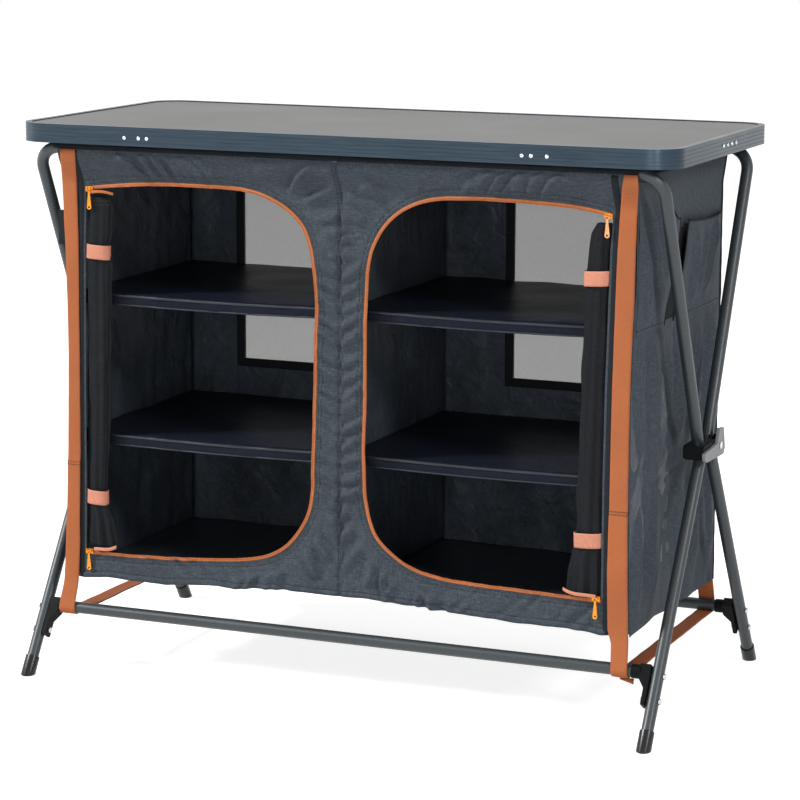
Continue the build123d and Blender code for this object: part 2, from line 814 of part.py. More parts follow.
def strap():
    """Right webbing strap: down the front, under both crossbars and up the back."""
    wrap = tube_radius + soft_clearance + strap_thick / 2
    face_y = cabinet_half_depth + strap_thick / 2
    foot_z = crossbar_z - wrap
    turn_z = cabinet_low_z - strap_turn_drop
    turn = (-face_y, turn_z)
    rise = turn_z - crossbar_z
    lean = math.atan2(face_y - crossbar_y, rise)
    lean += math.acos(wrap / math.hypot(face_y - crossbar_y, rise))
    touch = (-crossbar_y - wrap * math.sin(lean), crossbar_z + wrap * math.cos(lean))
    swing = (lean + math.pi) / 2
    middle = (-crossbar_y - wrap * math.sin(swing), crossbar_z + wrap * math.cos(swing))
    half = Line((-face_y, cabinet_high_z), turn) + Line(turn, touch)
    half += ThreePointArc(touch, middle, (-crossbar_y, foot_z))
    half += Line((-crossbar_y, foot_z), (0, foot_z))
    path = half + mirror(half, about=Plane.YZ)
    ribbon = trace(path, strap_thick)
    return end_slab(ribbon, strap_outer_x - strap_width, strap_outer_x)


def top_sleeve():
    """Front cloth sleeve round the top bar, down to the cabinet's top edge."""
    inner = tube_radius + soft_clearance
    ring = Circle(inner + sleeve_thick) - Circle(inner)
    ring = Pos(-top_bar_y, top_bar_z) * ring
    reach = -cabinet_half_depth + cloth_thick
    base_y = -top_bar_y + inner
    flap = Pos((base_y + reach) / 2, cabinet_high_z + sleeve_thick) * Rectangle(
        reach - base_y + 2 * sleeve_thick, 2 * sleeve_thick
    )
    flap -= Pos(-top_bar_y, top_bar_z) * Circle(inner)
    sleeve = end_slab(ring + flap, -sleeve_half_length, sleeve_half_length)
    notch_half = saddle_length / 2 + sleeve_thick
    for side in (-1, 1):
        middle = side * batten_x
        x_span = (middle - notch_half, middle + notch_half)
        y_span = (-top_bar_y - 2 * tube_radius, -top_bar_y + 2 * tube_radius)
        sleeve -= block(x_span, y_span, (top_bar_z, top_bar_z + 2 * tube_radius))
    return sleeve


right_front = front_panel()
save("front_panel_right", right_front)
save("front_panel_left", flip_x(right_front))
save("back_panel", back_panel())
save("end_panel_right", end_panel())
save("end_panel_left", flip_x(end_panel()))
save("divider_panel", block(
    (-divider_half, divider_half),
    (-inside_y, inside_y),
    (cabinet_low_z + cloth_thick, cabinet_high_z - cloth_thick),
))
deck_x, deck_y = (-inside_x, inside_x), (-inside_y, inside_y)
save("roof_panel", block(deck_x, deck_y, (cabinet_high_z - cloth_thick, cabinet_high_z)))
save("floor_panel", block(deck_x, deck_y, (cabinet_low_z, cabinet_low_z + cloth_thick)))
for side_name, side in SIDES:
    save(f"window_{side_name}", upright_slab(window_outline(side), inside_y, cabinet_half_depth))

for level_name, level in zip(("lower", "upper"), shelf_levels):
    board = shelf(level, shelf_thick, shelf_edge_radius)
    save(f"shelf_right_{level_name}", board)
    save(f"shelf_left_{level_name}", flip_x(board))
floor_board_top = cabinet_low_z + cloth_thick + floor_board_thick
save("floor_boards", pair_x(shelf(floor_board_top, floor_board_thick, floor_board_edge_radius)))

for name, y_span, folds in zip(("front", "rear"), pocket_spans, pocket_fold_counts):
    save(f"end_pocket_{name}", pocket(y_span, folds))

right_zip = zip_track()
save("zip_right", right_zip)
save("zip_left", flip_x(right_zip))
right_roll = door_roll()
save("door_roll_right", right_roll)
save("door_roll_left", flip_x(right_roll))
loop_solids = list(roll_loops().solids()) + list(flip_x(roll_loops()).solids())
save("roll_loops", Compound(children=loop_solids))

for place_name, high in (("top", True), ("foot", False)):
    slider, pull = slider_parts(high)
    save(f"zip_slider_right_{place_name}", slider)
    save(f"zip_slider_left_{place_name}", flip_x(slider))
    save(f"zip_pull_right_{place_name}", pull)
    save(f"zip_pull_left_{place_name}", flip_x(pull))

right_strap = strap()
save("strap_right", right_strap)
save("strap_left", flip_x(right_strap))
front_sleeve = top_sleeve()
save("top_sleeves", front_sleeve + flip_y(front_sleeve))
save("side_label", block(
    (-cabinet_half_width - label_reach, -cabinet_half_width),
    (panel_front_y, panel_front_y + cloth_thick),
    (label_low_z, label_low_z + label_height),
))
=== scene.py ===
import json
import logging
import math
from dataclasses import dataclass, field
from enum import Enum
from typing import Any, Callable, Sequence

import bmesh
import bpy
import numpy as np
from mathutils import Matrix, Vector


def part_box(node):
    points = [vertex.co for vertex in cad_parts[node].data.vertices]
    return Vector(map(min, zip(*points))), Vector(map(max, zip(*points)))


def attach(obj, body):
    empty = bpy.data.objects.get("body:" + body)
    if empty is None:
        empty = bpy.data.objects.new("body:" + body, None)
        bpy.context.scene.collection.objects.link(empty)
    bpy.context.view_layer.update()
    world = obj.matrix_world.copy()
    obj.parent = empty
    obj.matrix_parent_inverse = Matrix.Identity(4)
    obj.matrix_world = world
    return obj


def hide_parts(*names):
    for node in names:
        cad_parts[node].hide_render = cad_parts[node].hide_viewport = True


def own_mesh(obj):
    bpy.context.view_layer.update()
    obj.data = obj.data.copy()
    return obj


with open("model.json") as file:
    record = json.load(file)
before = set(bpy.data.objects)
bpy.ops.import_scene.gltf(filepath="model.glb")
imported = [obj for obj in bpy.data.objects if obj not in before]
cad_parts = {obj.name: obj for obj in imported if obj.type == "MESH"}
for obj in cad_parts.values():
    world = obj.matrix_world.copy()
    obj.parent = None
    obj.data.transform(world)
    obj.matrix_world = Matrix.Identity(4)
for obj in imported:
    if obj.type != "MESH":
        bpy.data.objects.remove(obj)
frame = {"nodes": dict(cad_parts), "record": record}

LOG = logging.getLogger("cupboard")
MM = 0.001
SIDES = (("left", -1), ("right", 1))
# Heights in this file start from the drawing line, which lies this far under the floor
GROUND = 7.0
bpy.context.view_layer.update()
# Direction that faces the viewer
FRONT = (0, -1, 0)
# Points closer than this are one, in millimetres
MERGE_GAP = 0.01
# Random waves: how many are added, how their pitch spreads, and what brings their sum to about 1
RIPPLE_WAVES = 9
RIPPLE_SPREAD = (0.6, 1.7)
RIPPLE_SCALE = 3.4
# Creases: share of the length over which each end fades, and where and how deep the valley lies beside the crest
FOLD_FADE = 0.3
VALLEY_PLACE = 1.5
VALLEY_DEPTH = 0.55
# Outline of a door opening: points that it is drawn with, and how many on each side of a point are blended
OUTLINE_POINTS = 900
OUTLINE_BLUR = 22

Points = np.ndarray
Faces = list[tuple[int, ...]]


def linear(code: str) -> tuple[float, float, float, float]:
    """Turns an sRGB hex colour to linear light.

    Args:
        code: Colour as six hex digits.

    Returns:
        Red, green, blue and alpha, linear.
    """
    parts = [int(code[i : i + 2], 16) / 255 for i in (0, 2, 4)]
    lit = [p / 12.92 if p <= 0.04045 else ((p + 0.055) / 1.055) ** 2.4 for p in parts]
    return (lit[0], lit[1], lit[2], 1.0)


# Meshes


def to_frame(points: Points) -> Points:
    """Drawing millimetres to metres above the floor."""
    return (np.asarray(points, float) - np.array([0.0, 0.0, GROUND])) * MM


def link(name: str, data: bpy.types.ID) -> bpy.types.Object:
    """Makes an object of some data and puts it in the scene."""
    obj = bpy.data.objects.new(name, data)
    bpy.context.scene.collection.objects.link(obj)
    return obj


def build_mesh(name: str, points: Points, faces: Faces, smooth: bool = True) -> bpy.types.Object:
    """Makes a mesh object from points in millimetres.

    Args:
        name: Name of the piece.
        points: One row for each point.
        faces: Point numbers round each face.
        smooth: Whether its faces shade smoothly.

    Returns:
        The new object, at the origin.
    """
    mesh = bpy.data.meshes.new(name)
    mesh.from_pydata(to_frame(points).tolist(), [], faces)
    mesh.update()
    mesh.polygons.foreach_set("use_smooth", [smooth] * len(mesh.polygons))
    return link(name, mesh)


def grid_faces(rows: int, columns: int, round_columns: bool = False) -> Faces:
    """Faces of a grid whose points are stored row after row.

    Args:
        rows: Number of rows of points.
        columns: Number of points in a row.
        round_columns: Whether each row's end joins its start.

    Returns:
        Four point numbers for each face.
    """
    faces: Faces = []
    for row in range(rows - 1):
        here, below = row * columns, (row + 1) * columns
        for column in range(columns if round_columns else columns - 1):
            right = (column + 1) % columns
            faces.append((here + column, here + right, below + right, below + column))
    return faces


def tube_faces(rows: int, columns: int) -> Faces:
    """Faces of a tube of rows, with both its ends closed."""
    ends = [tuple(range(columns)), tuple(range((rows - 1) * columns, rows * columns))]
    return grid_faces(rows, columns, round_columns=True) + ends


def face_outwards(obj: bpy.types.Object) -> None:
    """Merges doubles and turns every face outwards."""
    shape = bmesh.new()
    shape.from_mesh(obj.data)
    bmesh.ops.remove_doubles(shape, verts=shape.verts, dist=MERGE_GAP * MM)
    bmesh.ops.recalc_face_normals(shape, faces=shape.faces)
    shape.to_mesh(obj.data)
    shape.free()


def face_towards(obj: bpy.types.Object, way: tuple[float, float, float]) -> None:
    """Turns a sheet over if most of it faces away.

    Args:
        obj: Sheet of one layer.
        way: Direction that its front should face.
    """
    total = sum((face.normal * face.area for face in obj.data.polygons), Vector())
    if total.dot(Vector(way)) < 0:
        obj.data.flip_normals()


def thicken(obj: bpy.types.Object, thick: float, offset: float = -1.0) -> None:
    """Gives a sheet its thickness.

    Args:
        obj: Sheet of one layer.
        thick: Thickness in millimetres.
        offset: Minus 1 grows inwards, 0 both ways and 1 outwards.
    """
    layer = obj.modifiers.new("thickness", "SOLIDIFY")
    layer.thickness = thick * MM
    layer.offset = offset
    layer.use_even_offset = True


def soften(obj: bpy.types.Object, width: float, sharp: float) -> None:
    """Rounds a piece's sharp edges.

    Args:
        obj: Piece with hard edges.
        width: How far back each edge is cut, in millimetres.
        sharp: Smallest angle of an edge that is cut, in degrees.
    """
    bevel = obj.modifiers.new("eased_edges", "BEVEL")
    bevel.limit_method = "ANGLE"
    bevel.angle_limit = math.radians(sharp)
    bevel.width = width * MM
    bevel.segments = 2
    bevel.use_clamp_overlap = True
    bevel.harden_normals = True


def subdivide(obj: bpy.types.Object) -> None:
    """Adds one level of subdivision surface."""
    smoothing = obj.modifiers.new("smoothing", "SUBSURF")
    smoothing.levels = 1
    smoothing.render_levels = 1


def sweep_round(path: Points, radius: float | Points, sides: int) -> tuple[Points, Faces]:
    """Sweeps a circle along an open path without twist.

    Args:
        path: Points of the centre line.
        radius: Radius, one value or one for each point.
        sides: Points round the circle.

    Returns:
        Points and faces, with closed ends.
    """
    count = len(path)
    radii = np.broadcast_to(np.asarray(radius, float), (count,))
    tangents = np.gradient(path, axis=0)
    tangents /= np.linalg.norm(tangents, axis=1)[:, None]
    side = np.cross(tangents[0], [0.0, 0.0, 1.0])
    if np.linalg.norm(side) < 0.1:
        side = np.cross(tangents[0], [0.0, 1.0, 0.0])
    turns = np.linspace(0, 2 * math.pi, sides, endpoint=False)
    rows = []
    for index in range(count):
        side = side - tangents[index] * (side @ tangents[index])
        side = side / np.linalg.norm(side)
        up = np.cross(side, tangents[index])
        ring = np.cos(turns)[:, None] * side + np.sin(turns)[:, None] * up
        rows.append(path[index] + radii[index] * ring)
    faces = grid_faces(count, sides, round_columns=True)
    faces.append(tuple(range(sides - 1, -1, -1)))
    faces.append(tuple(range((count - 1) * sides, count * sides)))
    return np.concatenate(rows), faces


def sideways(line: Points) -> Points:
    """Unit vectors square to a flat line at each of its points."""
    run = np.gradient(line, axis=0)
    run /= np.linalg.norm(run, axis=1)[:, None]
    return np.stack([-run[:, 1], run[:, 0]], axis=1)


def distances(line: Points) -> Points:
    """Distance along a line from its start to each of its points."""
    return np.concatenate([[0], np.cumsum(np.linalg.norm(np.diff(line, axis=0), axis=1))])


def upright_line(x: float, low: float, high: float, count: int) -> Points:
    """Points of an upright line in X and Z."""
    return np.stack([np.full(count, x), np.linspace(low, high, count)], axis=1)


def level_line(z: float, first: float, last: float, count: int) -> Points:
    """Points of a level line in X and Z."""
    return np.stack([np.linspace(first, last, count), np.full(count, z)], axis=1)


def ripple(first: Points, second: Points, wave: float, seed: int) -> Points:
    """Smooth random waves over a surface, about 1 high.

    Args:
        first: First coordinate of each point.
        second: Second coordinate of each point.
        wave: Usual distance between crests.
        seed: Seed of the random directions.

    Returns:
        Height at each point.
    """
    source = np.random.default_rng(seed)
    height = np.zeros(np.shape(first))
    for _ in range(RIPPLE_WAVES):
        turn = source.uniform(0, math.pi)
        pitch = wave * source.uniform(*RIPPLE_SPREAD)
        phase = source.uniform(0, 2 * math.pi)
        along = first * math.cos(turn) + second * math.sin(turn)
        height = height + np.sin(along * 2 * math.pi / pitch + phase)
    return height / RIPPLE_SCALE


def ease(value: Points | float) -> Points:
    """Smooth step from 0 to 1 over that range of values."""
    share = np.clip(value, 0, 1)
    return share * share * (3 - 2 * share)


@dataclass(frozen=True)
class Fold:
    """One crease of cloth, from a start to an end, with a crest beside a valley."""

    start: tuple[float, float]
    end: tuple[float, float]
    width: float
    height: float
    bend: float = 0.0

    def lift(self, first: Points, second: Points) -> Points:
        """Height that the crease adds.

        Args:
            first: First coordinate of each point.
            second: Second coordinate of each point.

        Returns:
            Height at each point.
        """
        run = np.array(self.end, float) - np.array(self.start, float)
        length = float(np.linalg.norm(run))
        run = run / length
        along = (first - self.start[0]) * run[0] + (second - self.start[1]) * run[1]
        across = -(first - self.start[0]) * run[1] + (second - self.start[1]) * run[0]
        share = along / length
        across = across - self.bend * np.sin(np.clip(share, 0, 1) * math.pi)
        taper = ease(share / FOLD_FADE) * ease((1 - share) / FOLD_FADE)
        crest = np.exp(-((across / self.width) ** 2))
        valley = np.exp(-(((across + VALLEY_PLACE * self.width) / self.width) ** 2))
        return self.height * taper * (crest - VALLEY_DEPTH * valley)


def lift_all(folds: Sequence[Fold], first: Points, second: Points) -> Points:
    """Adds up the heights of many folds.

    Args:
        folds: Creases of one sheet.
        first: First coordinate of each point.
        second: Second coordinate of each point.

    Returns:
        Height at each point.
    """
    total = np.zeros(np.shape(first))
    for crease in folds:
        total = total + crease.lift(first, second)
    return total


# Node trees


Link = bpy.types.NodeSocket


class Tree:
    """A node tree while it is being built."""

    def __init__(self, tree: bpy.types.NodeTree) -> None:
        """Keeps the tree."""
        self.tree = tree

    def add(self, kind: str, inputs: dict[Any, Any] | None = None, **settings: Any) -> bpy.types.Node:
        """Adds a node.

        Args:
            kind: Type name of the node.
            inputs: Value or socket for each input, by its name or number.
            **settings: Properties of the node.

        Returns:
            The new node.
        """
        node = self.tree.nodes.new(kind)
        for key, value in settings.items():
            setattr(node, key, value)
        for key, value in (inputs or {}).items():
            socket = node.inputs[key]
            if isinstance(value, bpy.types.NodeSocket):
                self.tree.links.new(value, socket)
            else:
                socket.default_value = value
        return node

    def noise(self, place: Link, scale: float, detail: float, distortion: float = 0.0) -> Link:
        """Adds a noise pattern.

        Args:
            place: Coordinates that it reads.
            scale: Its scale, one over metres.
            detail: Its detail.
            distortion: How far it is bent.

        Returns:
            Socket that holds the noise.
        """
        inputs = {"Vector": place, "Scale": scale, "Detail": detail, "Distortion": distortion}
        return self.add("ShaderNodeTexNoise", inputs).outputs["Fac"]

    def stretch(self, place: Link, scale: tuple[float, float, float]) -> Link:
        """Scales coordinates along each axis."""
        return self.add("ShaderNodeMapping", {"Vector": place, "Scale": scale}).outputs["Vector"]

    def seen(self) -> Link:
        """1 for rays that come from the camera, glass or gloss, and otherwise 0."""
        ray = self.add("ShaderNodeLightPath").outputs
        pair = {0: ray["Is Camera Ray"], 1: ray["Is Transmission Ray"]}
        both = self.add("ShaderNodeMath", pair, operation="ADD").outputs[0]
        total = {0: both, 1: ray["Is Glossy Ray"]}
        return self.add("ShaderNodeMath", total, operation="ADD", use_clamp=True).outputs[0]


class Grain(Enum):
    """Which way the fine pattern of a finish runs."""

    WOVEN = "woven"
    SPECKLED = "speckled"
    DRAWN = "drawn"
    RIBBED = "ribbed"


@dataclass(frozen=True)
class Finish:
    """A surface: its colours, its pattern in millimetres and how it takes light."""

    name: str
    base: str
    light: str
    dark: str
    grain: Grain = Grain.SPECKLED
    grain_size: float = 1.0
    grain_depth: float = 0.05
    patch_size: float = 90.0
    patch_share: float = 0.25
    crease_size: float = 20.0
    crease_depth: float = 0.0
    roughness: float = 0.6
    roughness_spread: float = 0.06
    metallic: float = 0.0
    specular: float = 0.5
    coat: float = 0.0
    coat_roughness: float = 0.15
    alpha: float = 1.0

    def material(self) -> bpy.types.Material:
        """The material, made at its first use.

        Returns:
            Material of this finish.
        """
        ready = bpy.data.materials.get(self.name)
        if ready:
            return ready
        made = bpy.data.materials.new(self.name)
        made.use_nodes = True
        made.node_tree.nodes.clear()
        self.grow(Tree(made.node_tree))
        return made

    def grow(self, tree: Tree) -> None:
        """Builds the node tree.

        Args:
            tree: Empty tree of the material.
        """
        place = tree.add("ShaderNodeTexCoord").outputs["Object"]
        pattern = self.pattern(tree, place)
        ramp = tree.add("ShaderNodeValToRGB", {"Fac": pattern})
        stops = ramp.color_ramp.elements
        stops[0].position, stops[0].color = 0.28, linear(self.dark)
        stops[1].position, stops[1].color = 0.72, linear(self.light)
        stops.new(0.5).color = linear(self.base)
        patch = tree.noise(place, 1 / (self.patch_size * MM), 3.0)

        def patchy(middle: float, reach: float) -> Link:
            """A value that follows the patches, by its middle and how far it strays."""
            inputs = {"Value": patch, "From Min": 0.3, "From Max": 0.7}
            inputs |= {"To Min": middle - reach, "To Max": middle + reach}
            return tree.add("ShaderNodeMapRange", inputs).outputs["Result"]

        colours = {"Factor": 1.0, 6: ramp.outputs["Color"], 7: patchy(1, self.patch_share)}
        tint = tree.add("ShaderNodeMix", colours, data_type="RGBA", blend_type="MULTIPLY").outputs[2]
        rough = patchy(self.roughness, self.roughness_spread)
        bump = tree.add("ShaderNodeBump", {"Height": pattern, "Distance": self.grain_depth * MM, "Strength": 1.0})
        if self.crease_depth:
            crease = tree.noise(place, 1 / (self.crease_size * MM), 2.0, 0.8)
            inputs = {"Height": crease, "Distance": self.crease_depth * MM, "Strength": 1.0}
            bump = tree.add("ShaderNodeBump", inputs | {"Normal": bump.outputs["Normal"]})
        shader = tree.add(
            "ShaderNodeBsdfPrincipled",
            {
                "Base Color": tint,
                "Roughness": rough,
                "Normal": bump.outputs["Normal"],
                "Metallic": self.metallic,
                "Specular IOR Level": self.specular,
                "Coat Weight": self.coat,
                "Coat Roughness": self.coat_roughness,
                "Alpha": self.alpha,
            },
        )
        tree.add("ShaderNodeOutputMaterial", {"Surface": shader.outputs["BSDF"]})

    def pattern(self, tree: Tree, place: Link) -> Link:
        """The fine pattern, from 0 to 1.

        Args:
            tree: Tree of the material.
            place: Object coordinates.

        Returns:
            Socket that holds the pattern.
        """
        scale = 1 / (self.grain_size * MM)
        if self.grain is Grain.SPECKLED:
            return tree.noise(place, scale, 4.0)
        if self.grain is Grain.DRAWN:
            return tree.noise(tree.stretch(place, (0.01, 0.01, 1.0)), scale, 3.0)
        if self.grain is Grain.RIBBED:
            run = tree.add("ShaderNodeAttribute", attribute_name="run").outputs["Vector"]
            inputs = {"Vector": run, "Scale": math.pi / (10 * self.grain_size * MM), "Distortion": 0.3, "Detail": 1.0}
            ribs = tree.add("ShaderNodeTexWave", inputs, bands_direction="Y").outputs["Fac"]
            fibre = tree.noise(place, 700.0, 3.0)
            return tree.add("ShaderNodeMix", {"Factor": 0.6, 2: ribs, 3: fibre}).outputs[0]
        warp = tree.noise(tree.stretch(place, (1.0, 1.0, 0.13)), scale, 2.0)
        weft = tree.noise(tree.stretch(place, (0.13, 0.13, 1.0)), scale, 2.0)
        return tree.add("ShaderNodeMix", {"Factor": 0.5, 2: warp, 3: weft}).outputs[0]


# 600D polyester, woven from two greys and pressed: matt, with flecks along the threads
OUTER_CLOTH = Finish(
    "Woven_Polyester", "3F464D", "535C65", "2D3439", Grain.WOVEN, 1.3, 0.12, 130, 0.08, 26, 1.1, 0.72, specular=0.15
)
# The cloth's coated back, inside the cabinet: darker, with soft clouding
INNER_CLOTH = Finish(
    "Coated_Polyester_Lining", "3B424B", "4C545E", "2C3138", Grain.WOVEN, 1.3, 0.08, 90, 0.25, 34, 3.0, 0.46,
    specular=0.3,
)
# Thin 210D polyester of the rolled doors: near black and limp
DOOR_CLOTH = Finish(
    "Thin_Black_Polyester", "17191C", "202327", "0F1113", Grain.WOVEN, 1.2, 0.08, 60, 0.15, 14, 0.7, 0.7, specular=0.12
)
# Coated polyester over the shelf boards: black with a soft gloss
SHELF_CLOTH = Finish(
    "Coated_Shelf_Cover", "191D27", "212633", "12151C", Grain.WOVEN, 1.0, 0.05, 110, 0.12, 22, 0.9, 0.4, 0.04,
    specular=0.06,
)
# The same cover over the floor boards, in a lighter grey than on the shelves
FLOOR_CLOTH = Finish(
    "Coated_Floor_Cover", "3A3F48", "4A505A", "2A2E36", Grain.WOVEN, 1.0, 0.05, 110, 0.15, 30, 1.4, 0.4, 0.04,
    specular=0.2,
)
# Corded piping with a shiny coated face
PIPING = Finish(
    "Coated_Piping", "20242C", "292E37", "181B21", Grain.WOVEN, 0.9, 0.04, 60, 0.2, 26, 0.8, 0.34, 0.04, specular=0.35
)
# Plain binding tape along the seams: matt and darker than the cloth
BINDING = Finish(
    "Woven_Binding", "1D2024", "282C31", "131619", Grain.WOVEN, 0.9, 0.08, 60, 0.1, roughness=0.78, specular=0.15
)
# Knitted polyester net, seen as an even pale grey against a light background
NET = Finish(
    "Knitted_Window_Net", "929490", "989A96", "8B8D89", Grain.WOVEN, 1.1, 0.05, 160, 0.05,
    alpha=0.56, roughness=0.8, specular=0.3,
)
# Polypropylene webbing, ribbed across at every 1.7 mm and dyed orange
WEBBING = Finish(
    "Ribbed_Webbing", "AA6038", "B46A40", "9E5730", Grain.RIBBED, 1.7, 0.12, 70, 0.06, roughness=0.66, specular=0.25
)
# Soft woven ribbon of the door loops: paler and smoother than the webbing
RIBBON = Finish(
    "Woven_Ribbon", "D08B72", "DC9981", "BE7860", Grain.WOVEN, 0.8, 0.08, 40, 0.05, roughness=0.6, specular=0.25
)
# Woven polyester tape of the zips: dull orange
ZIP_TAPE = Finish(
    "Zip_Tape", "B86C3E", "C67C4C", "A05A30", Grain.WOVEN, 0.8, 0.08, 50, 0.06, roughness=0.6, specular=0.25
)
# Moulded nylon coil of the zips: a little darker and shinier than its tape
ZIP_COIL = Finish(
    "Nylon_Coil", "B06236", "C07242", "8F4C2A", Grain.SPECKLED, 1.0, 0.03, 50, 0.06, roughness=0.4, specular=0.35
)
# Polyester sewing thread, near black on the cloth and brown on the webbing
THREAD = Finish("Sewing_Thread", "16191C", "202428", "0E1012", Grain.SPECKLED, 0.6, 0.03, roughness=0.7)
PALE_THREAD = Finish("Pale_Sewing_Thread", "6E5A4E", "8A7060", "4A3C34", Grain.SPECKLED, 0.6, 0.03, roughness=0.7)
# Zinc alloy, plated a warm gold and polished
GOLD_PLATE = Finish(
    "Gold_Plated_Zinc", "D98A2B", "E8A854", "B86E1C", Grain.SPECKLED, 2.0, 0.01, 20, 0.08, roughness=0.3, metallic=0.9
)
# The same alloy in the paler rose tone of the right top pull
PALE_GOLD = Finish(
    "Rose_Plated_Zinc", "DDA070", "EBB78B", "C0855A", Grain.SPECKLED, 2.0, 0.01, 20, 0.06, roughness=0.3, metallic=0.9
)
# Powder coat baked on steel tube: satin, with fine orange peel
POWDER_COAT = Finish(
    "Powder_Coated_Steel", "30363A", "3A4145", "282E31", Grain.SPECKLED, 1.6, 0.03, 120, 0.05,
    roughness=0.42, specular=0.45, coat=0.1, coat_roughness=0.3,
)
# Extruded aluminium, anodised blue grey, with drawing lines along its length
ANODISED = Finish(
    "Anodised_Aluminium", "33414C", "3F4D58", "293640", Grain.DRAWN, 0.6, 0.03, 150, 0.05, roughness=0.33, metallic=0.75
)
# Printed melamine over a thin board: even grey with fine flecks
LAMINATE = Finish(
    "Melamine_Laminate", "70706F", "787877", "686867", Grain.SPECKLED, 1.1, 0.01, 220, 0.04, roughness=0.55,
    specular=0.3,
)
# Painted plywood of the battens and braces under the top: near black
BATTEN = Finish("Painted_Batten", "2A2C2E", "343638", "202224", Grain.DRAWN, 1.5, 0.05, 60, 0.15, roughness=0.6)
# Glass filled nylon, moulded with a fine spark finish
BLACK_NYLON = Finish(
    "Moulded_Black_Nylon", "0D0E0F", "131516", "08090A", Grain.SPECKLED, 0.7, 0.03, 40, 0.08, roughness=0.55,
    specular=0.08,
)
# The same nylon in the pale grey of the lock levers
GREY_NYLON = Finish(
    "Moulded_Grey_Nylon", "7E8084", "8A8C90", "6E7074", Grain.SPECKLED, 1.2, 0.05, 30, 0.06, roughness=0.5
)
# Soft PVC dipped caps: wet looking black
FOOT_PVC = Finish(
    "Glossy_PVC", "0B0C0D", "111213", "070808", Grain.SPECKLED, 3.0, 0.02, 40, 0.05, roughness=0.26, specular=0.35
)
# Zinc plated steel fasteners: bright and smooth
ZINC = Finish(
    "Zinc_Plated_Steel", "C9CBCC", "DBDDDE", "B0B2B3", Grain.SPECKLED, 1.5, 0.02, 20, 0.05, roughness=0.26, metallic=1.0
)


# Repeated small things


class Item(Enum):
    """Small thing that is repeated along a path or at points."""

    STITCH = "stitch"
    TOOTH = "tooth"
    RIVET = "rivet"


